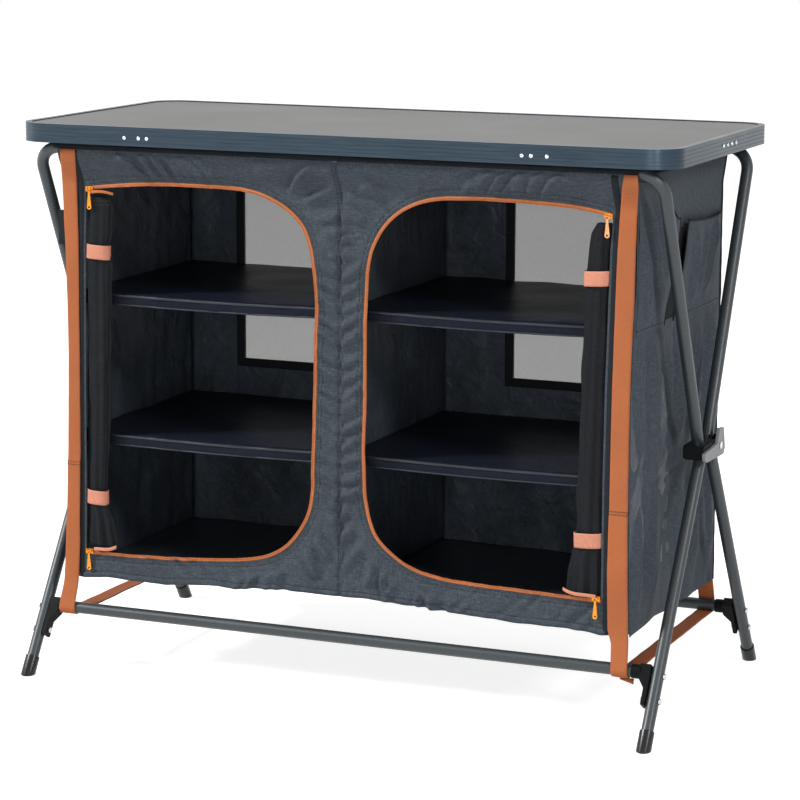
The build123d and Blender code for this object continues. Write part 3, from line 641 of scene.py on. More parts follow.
@dataclass(frozen=True)
class Row:
    """Geometry Nodes tree that repeats one small thing, with its sizes as inputs in millimetres."""

    item: Item
    finish: Finish
    pitch: float
    length: float
    width: float
    height: float

    def tree(self) -> bpy.types.NodeTree:
        """The tree, made at its first use.

        Returns:
            Node tree with the four sizes as inputs.
        """
        name = f"row_of_{self.item.value}_{self.finish.name}"
        ready = bpy.data.node_groups.get(name)
        if ready:
            return ready
        group = bpy.data.node_groups.new(name, "GeometryNodeTree")
        face = group.interface
        face.new_socket("Geometry", in_out="INPUT", socket_type="NodeSocketGeometry")
        for label in ("Pitch", "Length", "Width", "Height"):
            face.new_socket(label, in_out="INPUT", socket_type="NodeSocketFloat")
        face.new_socket("Geometry", in_out="OUTPUT", socket_type="NodeSocketGeometry")
        tree = Tree(group)
        given = tree.add("NodeGroupInput").outputs
        size = tree.add(
            "ShaderNodeCombineXYZ", {"X": given["Length"], "Y": given["Width"], "Z": given["Height"]}
        ).outputs["Vector"]
        if self.item is Item.TOOTH:
            thing = tree.add("GeometryNodeMeshCube", {"Size": size}).outputs["Mesh"]
        else:
            fineness = 2 if self.item is Item.RIVET else 1
            ball = tree.add("GeometryNodeMeshIcoSphere", {"Radius": 0.5, "Subdivisions": fineness})
            thing = tree.add(
                "GeometryNodeTransform", {"Geometry": ball.outputs["Mesh"], "Scale": size}
            ).outputs["Geometry"]
        if self.item is Item.RIVET:
            points = given["Geometry"]
            out = tree.add("GeometryNodeInputNamedAttribute", {"Name": "out"}, data_type="FLOAT_VECTOR").outputs[0]
            turn = tree.add("FunctionNodeAlignRotationToVector", {"Vector": out}, axis="Z").outputs["Rotation"]
        else:
            curve = tree.add("GeometryNodeMeshToCurve", {"Mesh": given["Geometry"]}).outputs["Curve"]
            points = tree.add(
                "GeometryNodeResampleCurve", {"Curve": curve, "Length": given["Pitch"]}, mode="LENGTH"
            ).outputs["Curve"]
            along = tree.add("GeometryNodeInputTangent").outputs["Tangent"]
            turn = tree.add("FunctionNodeAlignRotationToVector", {"Vector": along}, axis="X").outputs["Rotation"]
        spread = tree.add(
            "GeometryNodeInstanceOnPoints", {"Points": points, "Instance": thing, "Rotation": turn}
        ).outputs["Instances"]
        real = tree.add("GeometryNodeRealizeInstances", {"Geometry": spread}).outputs["Geometry"]
        smooth = tree.add("GeometryNodeSetShadeSmooth", {"Geometry": real, "Shade Smooth": self.item is not Item.TOOTH})
        dressed = tree.add(
            "GeometryNodeSetMaterial", {"Geometry": smooth.outputs["Geometry"], "Material": self.finish.material()}
        ).outputs["Geometry"]
        tree.add("NodeGroupOutput", {"Geometry": dressed})
        return group

    def lay(self, name: str, paths: Sequence[Points], outs: Points | None = None) -> bpy.types.Object:
        """Lays the row along paths, or one thing on each point of a single path.

        Args:
            name: Name of the piece.
            paths: Lines in millimetres.
            outs: Way that each thing faces, for rivets.

        Returns:
            A plain mesh object with every thing in it.
        """
        mesh = bpy.data.meshes.new(name)
        points = np.concatenate(paths)
        edges: list[tuple[int, int]] = []
        if self.item is not Item.RIVET:
            start = 0
            for path in paths:
                edges += [(start + i, start + i + 1) for i in range(len(path) - 1)]
                start += len(path)
        mesh.from_pydata(to_frame(points).tolist(), edges, [])
        if outs is not None:
            layer = mesh.attributes.new("out", "FLOAT_VECTOR", "POINT")
            layer.data.foreach_set("vector", np.asarray(outs, float).ravel())
        guide = link(name + "_guide", mesh)
        grower = guide.modifiers.new("row", "NODES")
        grower.node_group = self.tree()
        sizes = {"Pitch": self.pitch, "Length": self.length, "Width": self.width, "Height": self.height}
        for socket in grower.node_group.interface.items_tree:
            if socket.name in sizes:
                grower[socket.identifier] = sizes[socket.name] * MM
        guide.update_tag()
        bpy.context.view_layer.update()
        depsgraph = bpy.context.evaluated_depsgraph_get()
        plain = bpy.data.meshes.new_from_object(guide.evaluated_get(depsgraph))
        plain.name = name
        bpy.data.objects.remove(guide)
        return link(name, plain)

    def sew(self, name: str, paths: Sequence[Points]) -> bpy.types.Object:
        """Lays the row on the cabinet, dressed and with a mesh of its own.

        Args:
            name: Name of the piece.
            paths: Lines in millimetres.

        Returns:
            The piece.
        """
        return hang(self.lay(name, paths), self.finish)


# Real stitches are finer: these are as coarse as they need to be to show
STITCHES = Row(Item.STITCH, THREAD, 4.6, 3.8, 1.9, 0.9)
STRAP_STITCHES = Row(Item.STITCH, PALE_THREAD, 3.2, 2.2, 0.6, 0.4)
COIL_TEETH = Row(Item.TOOTH, ZIP_COIL, 2.4, 1.2, 3.0, 1.7)
RIVET_HEADS = Row(Item.RIVET, ZINC, 1.0, 6.8, 6.8, 3.2)


def fit(obj: bpy.types.Object, finish: Finish, body: str, replaces: Sequence[str] = ()) -> bpy.types.Object:
    """Dresses a piece and ties it to its body.

    Args:
        obj: The piece.
        finish: Its surface.
        body: CAD body that it rides on.
        replaces: CAD nodes that it stands for.

    Returns:
        The same piece.
    """
    obj.data.materials.clear()
    obj.data.materials.append(finish.material())
    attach(obj, body)
    if replaces:
        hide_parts(*replaces)
    LOG.info("%s: %d faces, rides on %s", obj.name, len(obj.data.polygons), body)
    return obj


def body_of_node(node: str) -> str:
    """Name of the CAD body that holds a node."""
    bodies = frame["record"]["behaviour"]["bodies"]
    return next(body for body, nodes in bodies.items() if node in nodes)


def collapse(obj: bpy.types.Object) -> None:
    """Gives the piece a mesh of its own."""
    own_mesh(obj)


def hang(
    obj: bpy.types.Object, finish: Finish, replaces: Sequence[str] = ()
) -> bpy.types.Object:
    """Dresses a soft piece of the cabinet and gives it a mesh of its own.

    Args:
        obj: The piece.
        finish: Its surface.
        replaces: CAD nodes that it stands for.

    Returns:
        The same piece.
    """
    fit(obj, finish, "cabinet", replaces)
    collapse(obj)
    return obj


def hang_sheet(
    name: str, points: Points, faces: Faces, way: tuple[float, float, float], thick: float, finish: Finish,
    replaces: Sequence[str] = (), smooth: bool = True, rounded: bool = False,
) -> bpy.types.Object:
    """Builds a small sheet on the cabinet.

    Args:
        name: Name of the piece.
        points: Its points in millimetres.
        faces: Point numbers round each face.
        way: Direction that its front faces.
        thick: Thickness in millimetres.
        finish: Its surface.
        replaces: CAD nodes that it stands for.
        smooth: Whether its faces shade smoothly.
        rounded: Whether it is subdivided.

    Returns:
        The sheet.
    """
    obj = build_mesh(name, points, faces, smooth)
    face_towards(obj, way)
    thicken(obj, thick)
    if rounded:
        subdivide(obj)
    return hang(obj, finish, replaces)


def hang_cord(
    name: str, path: Points, radius: float | Points, sides: int, finish: Finish
) -> bpy.types.Object:
    """Builds a thin round edge or coil on the cabinet.

    Args:
        name: Name of the piece.
        path: Its centre line in millimetres.
        radius: Radius, one value or one for each point.
        sides: Points round it.
        finish: Its surface.

    Returns:
        The piece.
    """
    obj = build_mesh(name, *sweep_round(path, radius, sides))
    face_outwards(obj)
    return hang(obj, finish)


@dataclass
class HardPart:
    """A CAD node of metal, plastic or board, copied with eased edges."""

    node: str
    finish: Finish
    slot: str
    ease: float = 0.4
    sharp: float = 32.0
    shift: tuple[float, float, float] = (0.0, 0.0, 0.0)
    merge: float = 0.004
    flat: float = 0.4

    def make(self) -> bpy.types.Object:
        """Builds the copy and puts it in the node's place.

        Returns:
            The copy.
        """
        mesh = frame["nodes"][self.node].data.copy()
        mesh.transform(Matrix.Translation(Vector(self.shift) * MM))
        obj = link(f"{self.node}_finished", mesh)
        shape = bmesh.new()
        shape.from_mesh(mesh)
        bmesh.ops.remove_doubles(shape, verts=shape.verts, dist=self.merge * MM)
        bmesh.ops.dissolve_limit(shape, angle_limit=math.radians(self.flat), verts=shape.verts, edges=shape.edges)
        limit = math.radians(self.sharp)
        for edge in shape.edges:
            edge.smooth = not (len(edge.link_faces) == 2 and edge.calc_face_angle(0) > limit)
        for face in shape.faces:
            face.smooth = True
        shape.to_mesh(mesh)
        shape.free()
        if self.ease:
            soften(obj, self.ease, self.sharp)
        return fit(obj, self.finish, body_of_node(self.node), [self.node])


# Shared cabinet layout


@dataclass(frozen=True)
class Layout:
    """Places that several sub-assemblies share, in millimetres."""

    half_width: float = 481.0
    half_depth: float = 216.0
    low: float = 162.0
    high: float = 860.0
    hinge_x: float = 443.0
    inner_x: float = 40.0
    door_low: float = 216.0
    door_high: float = 816.0
    corner: float = 145.0
    bar_y: float = 228.0
    bar_z: float = 868.0
    crossbar_y: float = 217.6
    crossbar_z: float = 111.0
    tube: float = 9.5
    hang_z: float = 808.0
    hang_top: float = 855.0
    hang_out: float = 22.8
    hang_up: float = 7.0

    @property
    def tall(self) -> float:
        """Height of the cabinet."""
        return self.high - self.low

    @property
    def deep(self) -> float:
        """Depth of the cabinet."""
        return 2 * self.half_depth


PLAN = Layout()


@dataclass(frozen=True)
class Half:
    """How one half of the cabinet hangs, with heights in millimetres and distances from the middle."""

    side: int
    opening: tuple[tuple[float, float], ...]
    hinge_shift: tuple[tuple[float, float], ...]
    corner_shift: tuple[tuple[float, float], ...]
    hem: tuple[tuple[float, float], ...]

    def door_line(self, grow: float, step: float = 4.0) -> Points:
        """Outline of the door opening in X and Z, from hinge foot round to hinge top.

        Args:
            grow: How far outside the opening's edge it runs.
            step: Distance between points.

        Returns:
            One row for each point.
        """
        knots = np.array(self.opening, float)
        run = distances(knots)
        dense = np.linspace(0, run[-1], OUTLINE_POINTS)
        line = np.stack([np.interp(dense, run, knots[:, axis]) for axis in (0, 1)], axis=1)
        bell = np.exp(-np.linspace(-2, 2, 2 * OUTLINE_BLUR + 1) ** 2)
        ends = [np.repeat(line[:1], OUTLINE_BLUR, axis=0), line, np.repeat(line[-1:], OUTLINE_BLUR, axis=0)]
        padded = np.concatenate(ends)
        soft = np.stack([np.convolve(padded[:, axis], bell / bell.sum(), "valid") for axis in (0, 1)], axis=1)
        soft[0], soft[-1] = line[0], line[-1]
        soft = soft + grow * sideways(soft)
        count = int(run[-1] / step)
        picks = np.linspace(0, len(soft) - 1, count)
        spread = np.arange(len(soft))
        line = np.stack([np.interp(picks, spread, soft[:, axis]) for axis in (0, 1)], axis=1)
        line[:, 0] = np.minimum(line[:, 0], PLAN.hinge_x)
        return line

    def hem_rise(self, x: Points) -> Points:
        """How far the bottom hem lies above the cabinet's low line."""
        places, rises = zip(*self.hem)
        return np.interp(x, places, rises)


LEFT_HALF = Half(
    -1,
    ((443, 207), (352, 208.2), (315, 210), (279, 211.3), (243, 214), (207, 217), (172, 220.5), (137.5, 227), (112, 237),
     (90, 253), (70, 277), (55, 304), (48.5, 335), (46.5, 409), (44.2, 489), (42.9, 568), (41.5, 647), (43.2, 690),
     (50, 727), (64, 759), (80, 777), (101, 793), (134, 807), (168, 812), (202, 813.4), (290, 813.4), (343, 811.6),
     (397, 807), (443, 801)),
    ((200, 10.0), (300, 8.0), (400, 7.0), (560, 5.0), (700, 3.0), (801, 0.0)),
    ((180, 5.0), (300, 2.0), (540, -1.0), (700, 0.0), (860, 0.0)),
    ((0, 14.0), (50, 14.5), (120, 15.5), (191, 9.0), (227, 10.0), (299, 3.0), (335, 3.0), (408, 6.0), (446, 1.0),
     (481, 5.0)),
)
RIGHT_HALF = Half(
    1,
    ((443, 215), (370, 217), (305, 218.5), (240, 220), (190, 222.5), (155, 226.5), (128, 233), (104, 244.5), (82, 260),
     (63, 279), (50, 307), (44, 340), (43, 416), (43.8, 495), (44.9, 574), (45.8, 652), (48.5, 695), (55.5, 730),
     (68, 757), (84, 777), (105, 793.5), (136, 807.5), (169, 813.4), (233, 816), (298, 815), (361, 813), (405, 808.5),
     (443, 801)),
    ((200, -9.5), (311, -10.0), (403, -10.0), (526, -8.8), (602, -7.0), (677, -5.3), (752, -3.5), (801, 0.0)),
    ((186, 0.0), (264, -3.0), (357, -5.0), (449, -6.0), (526, -5.0), (602, -3.0), (677, 0.0)),
    ((0, 14.0), (45, 16.0), (113, 12.0), (214, 8.0), (313, 4.0), (411, 2.0), (443, -1.0), (481, 5.0)),
)
HALVES = {-1: LEFT_HALF, 1: RIGHT_HALF}


def settle(points: Points) -> Points:
    """Hangs the cabinet's cloth: out to the top bars, and slack where its corners are pulled in.

    Args:
        points: Points of a flat, square cabinet.

    Returns:
        The same points where the real cloth lies.
    """
    moved = np.array(points, float)
    x, y, z = moved[..., 0].copy(), moved[..., 1].copy(), moved[..., 2].copy()
    away = np.abs(x)
    front = np.clip((PLAN.half_depth - y) / PLAN.deep, 0, 1)
    for half in HALVES.values():
        heights, shifts = zip(*half.hinge_shift)
        hinge = np.interp(z, heights, shifts)
        heights, shifts = zip(*half.corner_shift)
        corner = np.interp(z, heights, shifts)
        reach = ease((away - 90) / (PLAN.hinge_x - 90)) * hinge
        outer = ease((away - PLAN.hinge_x) / (PLAN.half_width - PLAN.hinge_x))
        shift = (reach + (corner - hinge) * outer) * front
        moved[..., 0] += np.where(x * half.side > 0, half.side * shift, 0.0)
    low_part = ease((PLAN.low + 90 - z) / 90) * ease((away - 440) / 36)
    foot = np.interp(y, (-PLAN.half_depth, -100, 50, PLAN.half_depth), (0.0, 5.0, -2.0, -8.0))
    moved[..., 2] += foot * low_part
    climb = ease((z - PLAN.hang_z) / (PLAN.hang_top - PLAN.hang_z))
    near_edge = ease((np.abs(y) - PLAN.half_depth + 40) / 40)
    moved[..., 1] += np.sign(y) * PLAN.hang_out * climb * near_edge
    moved[..., 2] += PLAN.hang_up * climb * near_edge
    return moved


def floor_rise(x: Points, y: Points) -> Points:
    """How far the cabinet's floor lies above its low line, as the hem draws it up.

    Args:
        x: Distances from the middle, with their sign.
        y: Depths.

    Returns:
        Rise in millimetres.
    """
    hems = np.where(np.asarray(x) < 0, LEFT_HALF.hem_rise(np.abs(x)), RIGHT_HALF.hem_rise(np.abs(x)))
    return hems * (0.45 + 0.55 * ease((PLAN.half_depth - y) / PLAN.deep))


@dataclass
class FrontPanel:
    """One half of the front: outer cloth round a door opening, with its bindings and stitching."""

    side_name: str
    side: int
    cloth: float = 1.0
    rings: int = 50
    step: float = 3.6
    strap_edge: float = 450.0
    cloth_edge: float = 4.0
    inner_seam: float = 8.0
    outer_seam: float = 13.5
    tape_line: float = 2.2
    tape_half: float = 2.4
    coil: float = 1.25
    binding_x: float = 452.5
    corner_share: float = 0.43
    folds: list[Fold] = field(default_factory=list)

    def __post_init__(self) -> None:
        """Lays out the creases that show on this half."""
        self.inner_row = HALVES[self.side].door_line(self.inner_seam)
        self.outer_row = HALVES[self.side].door_line(self.outer_seam)
        source = np.random.default_rng(11 if self.side < 0 else 23)
        jitter = source.uniform

        def around(middle: tuple[float, float], first: float, last: float, count: int) -> None:
            """Fans creases out round a rounded corner.

            Args:
                middle: Centre of the corner.
                first: Angle of the first crease, in degrees.
                last: Angle of the last crease, in degrees.
                count: Number of creases.
            """
            for turn in np.linspace(first, last, count):
                angle = math.radians(turn + jitter(-3, 3))
                near, far = 164 + jitter(0, 8), 214 + jitter(0, 36)
                start = (middle[0] + near * math.cos(angle), middle[1] + near * math.sin(angle))
                skew = angle + math.radians(jitter(4, 12))
                end = (middle[0] + far * math.cos(skew), middle[1] + far * math.sin(skew))
                self.folds.append(Fold(start, end, jitter(5, 9), jitter(4.5, 8.5), jitter(-5, 5)))

        inner = PLAN.inner_x + PLAN.corner
        around((inner, PLAN.door_high - PLAN.corner), 128, 178, 7)
        around((inner, PLAN.door_low + PLAN.corner), 182, 268, 10)
        for z in np.arange(330, 700, 27.0):
            rise = jitter(18, 36)
            crease = Fold((42, z + rise), (-6, z + jitter(-6, 4)), jitter(4.5, 8), jitter(4.0, 8.0), jitter(-3, 3))
            self.folds.append(crease)
        for x in np.arange(190, 395, 25.0):
            lean = jitter(36, 70)
            self.folds.append(Fold((x + lean, 214), (x, 152), jitter(5, 8), jitter(3.0, 6.0), jitter(-3, 3)))
        for x in np.arange(200, 345, 21.0):
            lean = jitter(34, 60)
            self.folds.append(Fold((x + lean, 868), (x, 816), jitter(5, 8.5), jitter(5.0, 9.0), jitter(-3, 3)))

    def lift(self, x: Points, z: Points) -> Points:
        """How far the cloth stands out at points of the right half.

        Args:
            x: Distance from the middle seam.
            z: Height.

        Returns:
            Lift in millimetres.
        """
        lift = lift_all(self.folds, x, z)
        lift = lift + 1.6 * ripple(x, z, 90, 5 + self.side) + 0.5 * ripple(x, z, 36, 9 + self.side)
        sewn = ease((PLAN.high - z) / 14) * ease((self.strap_edge - x) / 22)
        seam = -2.2 * np.exp(-((x / 4.5) ** 2))
        lift = lift * sewn * ease(0.15 + x / 9)
        run = ease((x - 205) / 25) * ease((PLAN.door_low + 2 - z) / 8)
        lift = lift * (1 - run) + np.minimum(lift, 0.8) * run
        return lift + seam - self.grooves(x, z)

    def grooves(self, x: Points, z: Points) -> Points:
        """Depth that the two sewn lines round the opening pull the cloth in.

        Args:
            x: Distance from the middle seam.
            z: Height.

        Returns:
            Depth at each point.
        """
        depth = np.zeros(np.shape(x))
        spots = np.stack([np.ravel(x), np.ravel(z)], axis=1)
        for line, sink in ((self.inner_row, 1.0), (self.outer_row, 1.8)):
            gap = np.min(np.linalg.norm(spots[:, None, :] - line[None, ::2, :], axis=2), axis=1)
            depth = depth + sink * np.exp(-((gap / 2.2) ** 2)).reshape(np.shape(x))
        return depth

    def face_y(self, x: Points, z: Points) -> Points:
        """Y of the outer face at points of the right half."""
        return -PLAN.half_depth - self.lift(np.asarray(x, float), np.asarray(z, float))

    def outer_edge(self, inner: Points) -> Points:
        """Point of the panel's rectangle straight out from each point of the opening.

        Args:
            inner: Points of the opening's edge.

        Returns:
            One row for each of them.
        """
        middle = np.array([(PLAN.hinge_x + PLAN.inner_x) / 2 + 60, (PLAN.door_low + PLAN.door_high) / 2])
        low = np.array([0.0, PLAN.low])
        high = np.array([PLAN.half_width, PLAN.high])
        way = inner - middle
        with np.errstate(divide="ignore", invalid="ignore"):
            reach = np.where(way > 0, (high - middle) / way, (low - middle) / way)
        reach = np.where(np.isfinite(reach), reach, 1e9).min(axis=1)
        return middle + way * reach[:, None]

    def lay(self, x: Points, y: Points, z: Points) -> Points:
        """Places points of the flat right half: hem wave, side and hang.

        Args:
            x: Distances from the middle seam.
            y: Depths.
            z: Heights.

        Returns:
            One row for each point.
        """
        drop = ease((PLAN.door_low - z) / (PLAN.door_low - PLAN.low))
        wave = 0.8 * ripple(x * self.side, x * 0, 60, 8)
        rise = (HALVES[self.side].hem_rise(x) + wave) * drop
        return settle(np.stack([self.side * x, y, z + rise], axis=-1))

    def sheet(self) -> bpy.types.Object:
        """Builds the cloth of the half.

        Returns:
            The cloth.
        """
        line = HALVES[self.side].door_line(self.cloth_edge, self.step)
        hinge = upright_line(PLAN.hinge_x, line[-1, 1], line[0, 1], 152)[1:-1]
        loop = np.concatenate([line, hinge])
        outer = self.outer_edge(loop)
        corners = [(0, PLAN.low), (0, PLAN.high), (PLAN.half_width, PLAN.high), (PLAN.half_width, PLAN.low)]
        for corner in corners:
            nearest = np.argmin(np.linalg.norm(outer - np.array(corner), axis=1))
            outer[nearest] = corner
        rows = []
        for ring in range(self.rings + 1):
            share = ring / self.rings
            flat = loop * (1 - share) + outer * share
            x, z = flat[:, 0], flat[:, 1]
            y = self.face_y(x, z) + (0.9 if ring == 0 else 0.0)
            rows.append(self.lay(x, y, z))
        faces = grid_faces(self.rings + 1, len(loop), round_columns=True)
        obj = build_mesh(f"front_cloth_{self.side_name}", np.concatenate(rows), faces)
        face_towards(obj, FRONT)
        thicken(obj, self.cloth)
        fit(obj, OUTER_CLOTH, "cabinet", [f"front_panel_{self.side_name}"])
        collapse(obj)
        return obj

    def strip(self, name: str, line: Points, half: float, proud: float, finish: Finish) -> bpy.types.Object:
        """A narrow tape that lies on the cloth along a line.

        Args:
            name: Name of the piece.
            line: Its middle in X and Z of the right half.
            half: Half its width.
            proud: How far its crown stands off the cloth.
            finish: Its surface.

        Returns:
            The tape.
        """
        across = sideways(line)
        rows = []
        for share, height in ((-1, -0.4), (-0.85, proud * 0.7), (0, proud), (0.85, proud * 0.7), (1, -0.4)):
            flat = line + across * half * share
            y = self.face_y(flat[:, 0], flat[:, 1]) - height
            rows.append(self.lay(flat[:, 0], y, flat[:, 1]))
        return hang_sheet(name, np.concatenate(rows), grid_faces(5, len(line)), FRONT, 0.5, finish)

    def bindings(self) -> None:
        """Adds the edge bindings and the hem."""
        corner = upright_line(self.binding_x, PLAN.low + 2, PLAN.high - 2, 140)
        self.strip(f"corner_binding_{self.side_name}", corner, 6.0, 0.9, BINDING)
        foot = level_line(PLAN.low + 5, 1.5, PLAN.half_width - 1.5, 130)
        self.strip(f"hem_{self.side_name}", foot, 5.0, 0.8, OUTER_CLOTH)

    def stitching(self) -> None:
        """Sews five lines: two round the opening, then beside the binding and the middle seam, and over the hem."""
        lines = [self.inner_row, self.outer_row]
        lines += [upright_line(446.9, 166, 856, 90), upright_line(3.4, 166, 856, 90), level_line(173.5, 5, 476, 90)]
        paths = []
        for line in lines:
            y = self.face_y(line[:, 0], line[:, 1]) - 0.12
            paths.append(self.lay(line[:, 0], y, line[:, 1]))
        STITCHES.sew(f"front_stitches_{self.side_name}", paths)

    def zip(self) -> None:
        """Sews the zip round the opening: tape, coil and teeth."""
        half = HALVES[self.side]
        tape = self.strip(f"zip_tape_{self.side_name}", half.door_line(self.tape_line), self.tape_half, 1.0, ZIP_TAPE)
        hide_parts(f"zip_{self.side_name}")
        line = half.door_line(0.0)
        path = self.lay(line[:, 0], self.face_y(line[:, 0], line[:, 1]) - 0.1, line[:, 1])
        hang_cord(f"zip_coil_{self.side_name}", path, self.coil, 8, ZIP_COIL)
        COIL_TEETH.sew(f"zip_teeth_{self.side_name}", [path])

    def make(self) -> None:
        """Builds the half front."""
        self.sheet()
        self.bindings()
        self.stitching()
        self.zip()


@dataclass
class FlatCloth:
    """A plain wall of cloth between two corners, with folds square to it."""

    name: str
    node: str
    corner: tuple[float, float, float]
    across: tuple[float, float, float]
    up: tuple[float, float, float]
    outward: tuple[float, float, float]
    finish: Finish
    lift: Callable[[Points, Points], Points]
    step: float = 6.0
    cloth: float = 1.0
    hole: tuple[float, float, float, float] | None = None
    hung: bool = False

    def make(self) -> bpy.types.Object:
        """Builds the wall.

        Returns:
            The wall.
        """
        start, across, up = (np.array(v, float) for v in (self.corner, self.across, self.up))
        width, height = float(np.linalg.norm(across)), float(np.linalg.norm(up))
        columns, rows = max(2, int(width / self.step)), max(2, int(height / self.step))
        u, v = np.meshgrid(np.linspace(0, width, columns + 1), np.linspace(0, height, rows + 1))
        if self.hole:
            u, v = snap(u, (self.hole[0], self.hole[1])), snap(v, (self.hole[2], self.hole[3]))
        lift = self.lift(u, v)
        spots = (
            start
            + u[..., None] * across / width
            + v[..., None] * up / height
            + lift[..., None] * np.array(self.outward, float)
        )
        faces = grid_faces(rows + 1, columns + 1)
        points = (settle(spots) if self.hung else spots).reshape(-1, 3)
        if self.hole:
            low_u, high_u, low_v, high_v = self.hole
            flat_u, flat_v = u.ravel(), v.ravel()
            kept = []
            for face in faces:
                mid_u, mid_v = flat_u[list(face)].mean(), flat_v[list(face)].mean()
                if not (low_u < mid_u < high_u and low_v < mid_v < high_v):
                    kept.append(face)
            faces = kept
        obj = build_mesh(self.name, points, faces)
        loose(obj)
        face_towards(obj, self.outward)
        thicken(obj, self.cloth)
        fit(obj, self.finish, "cabinet", [self.node] if self.node else [])
        cut = width * height
        if self.hole:
            cut -= (self.hole[1] - self.hole[0]) * (self.hole[3] - self.hole[2])
        collapse(obj)
        return obj


def snap(grid: Points, values: Sequence[float]) -> Points:
    """Moves the nearest grid lines onto given values.

    Args:
        grid: Coordinates, the same along one axis.
        values: Values that a line has to reach.

    Returns:
        The moved coordinates.
    """
    moved = grid.copy()
    for value in values:
        nearest = grid.ravel()[np.argmin(np.abs(grid.ravel() - value))]
        moved[np.isclose(grid, nearest)] = value
    return moved


def loose(obj: bpy.types.Object) -> None:
    """Deletes points that no face uses."""
    shape = bmesh.new()
    shape.from_mesh(obj.data)
    bmesh.ops.delete(shape, geom=[vert for vert in shape.verts if not vert.link_faces], context="VERTS")
    shape.to_mesh(obj.data)
    shape.free()


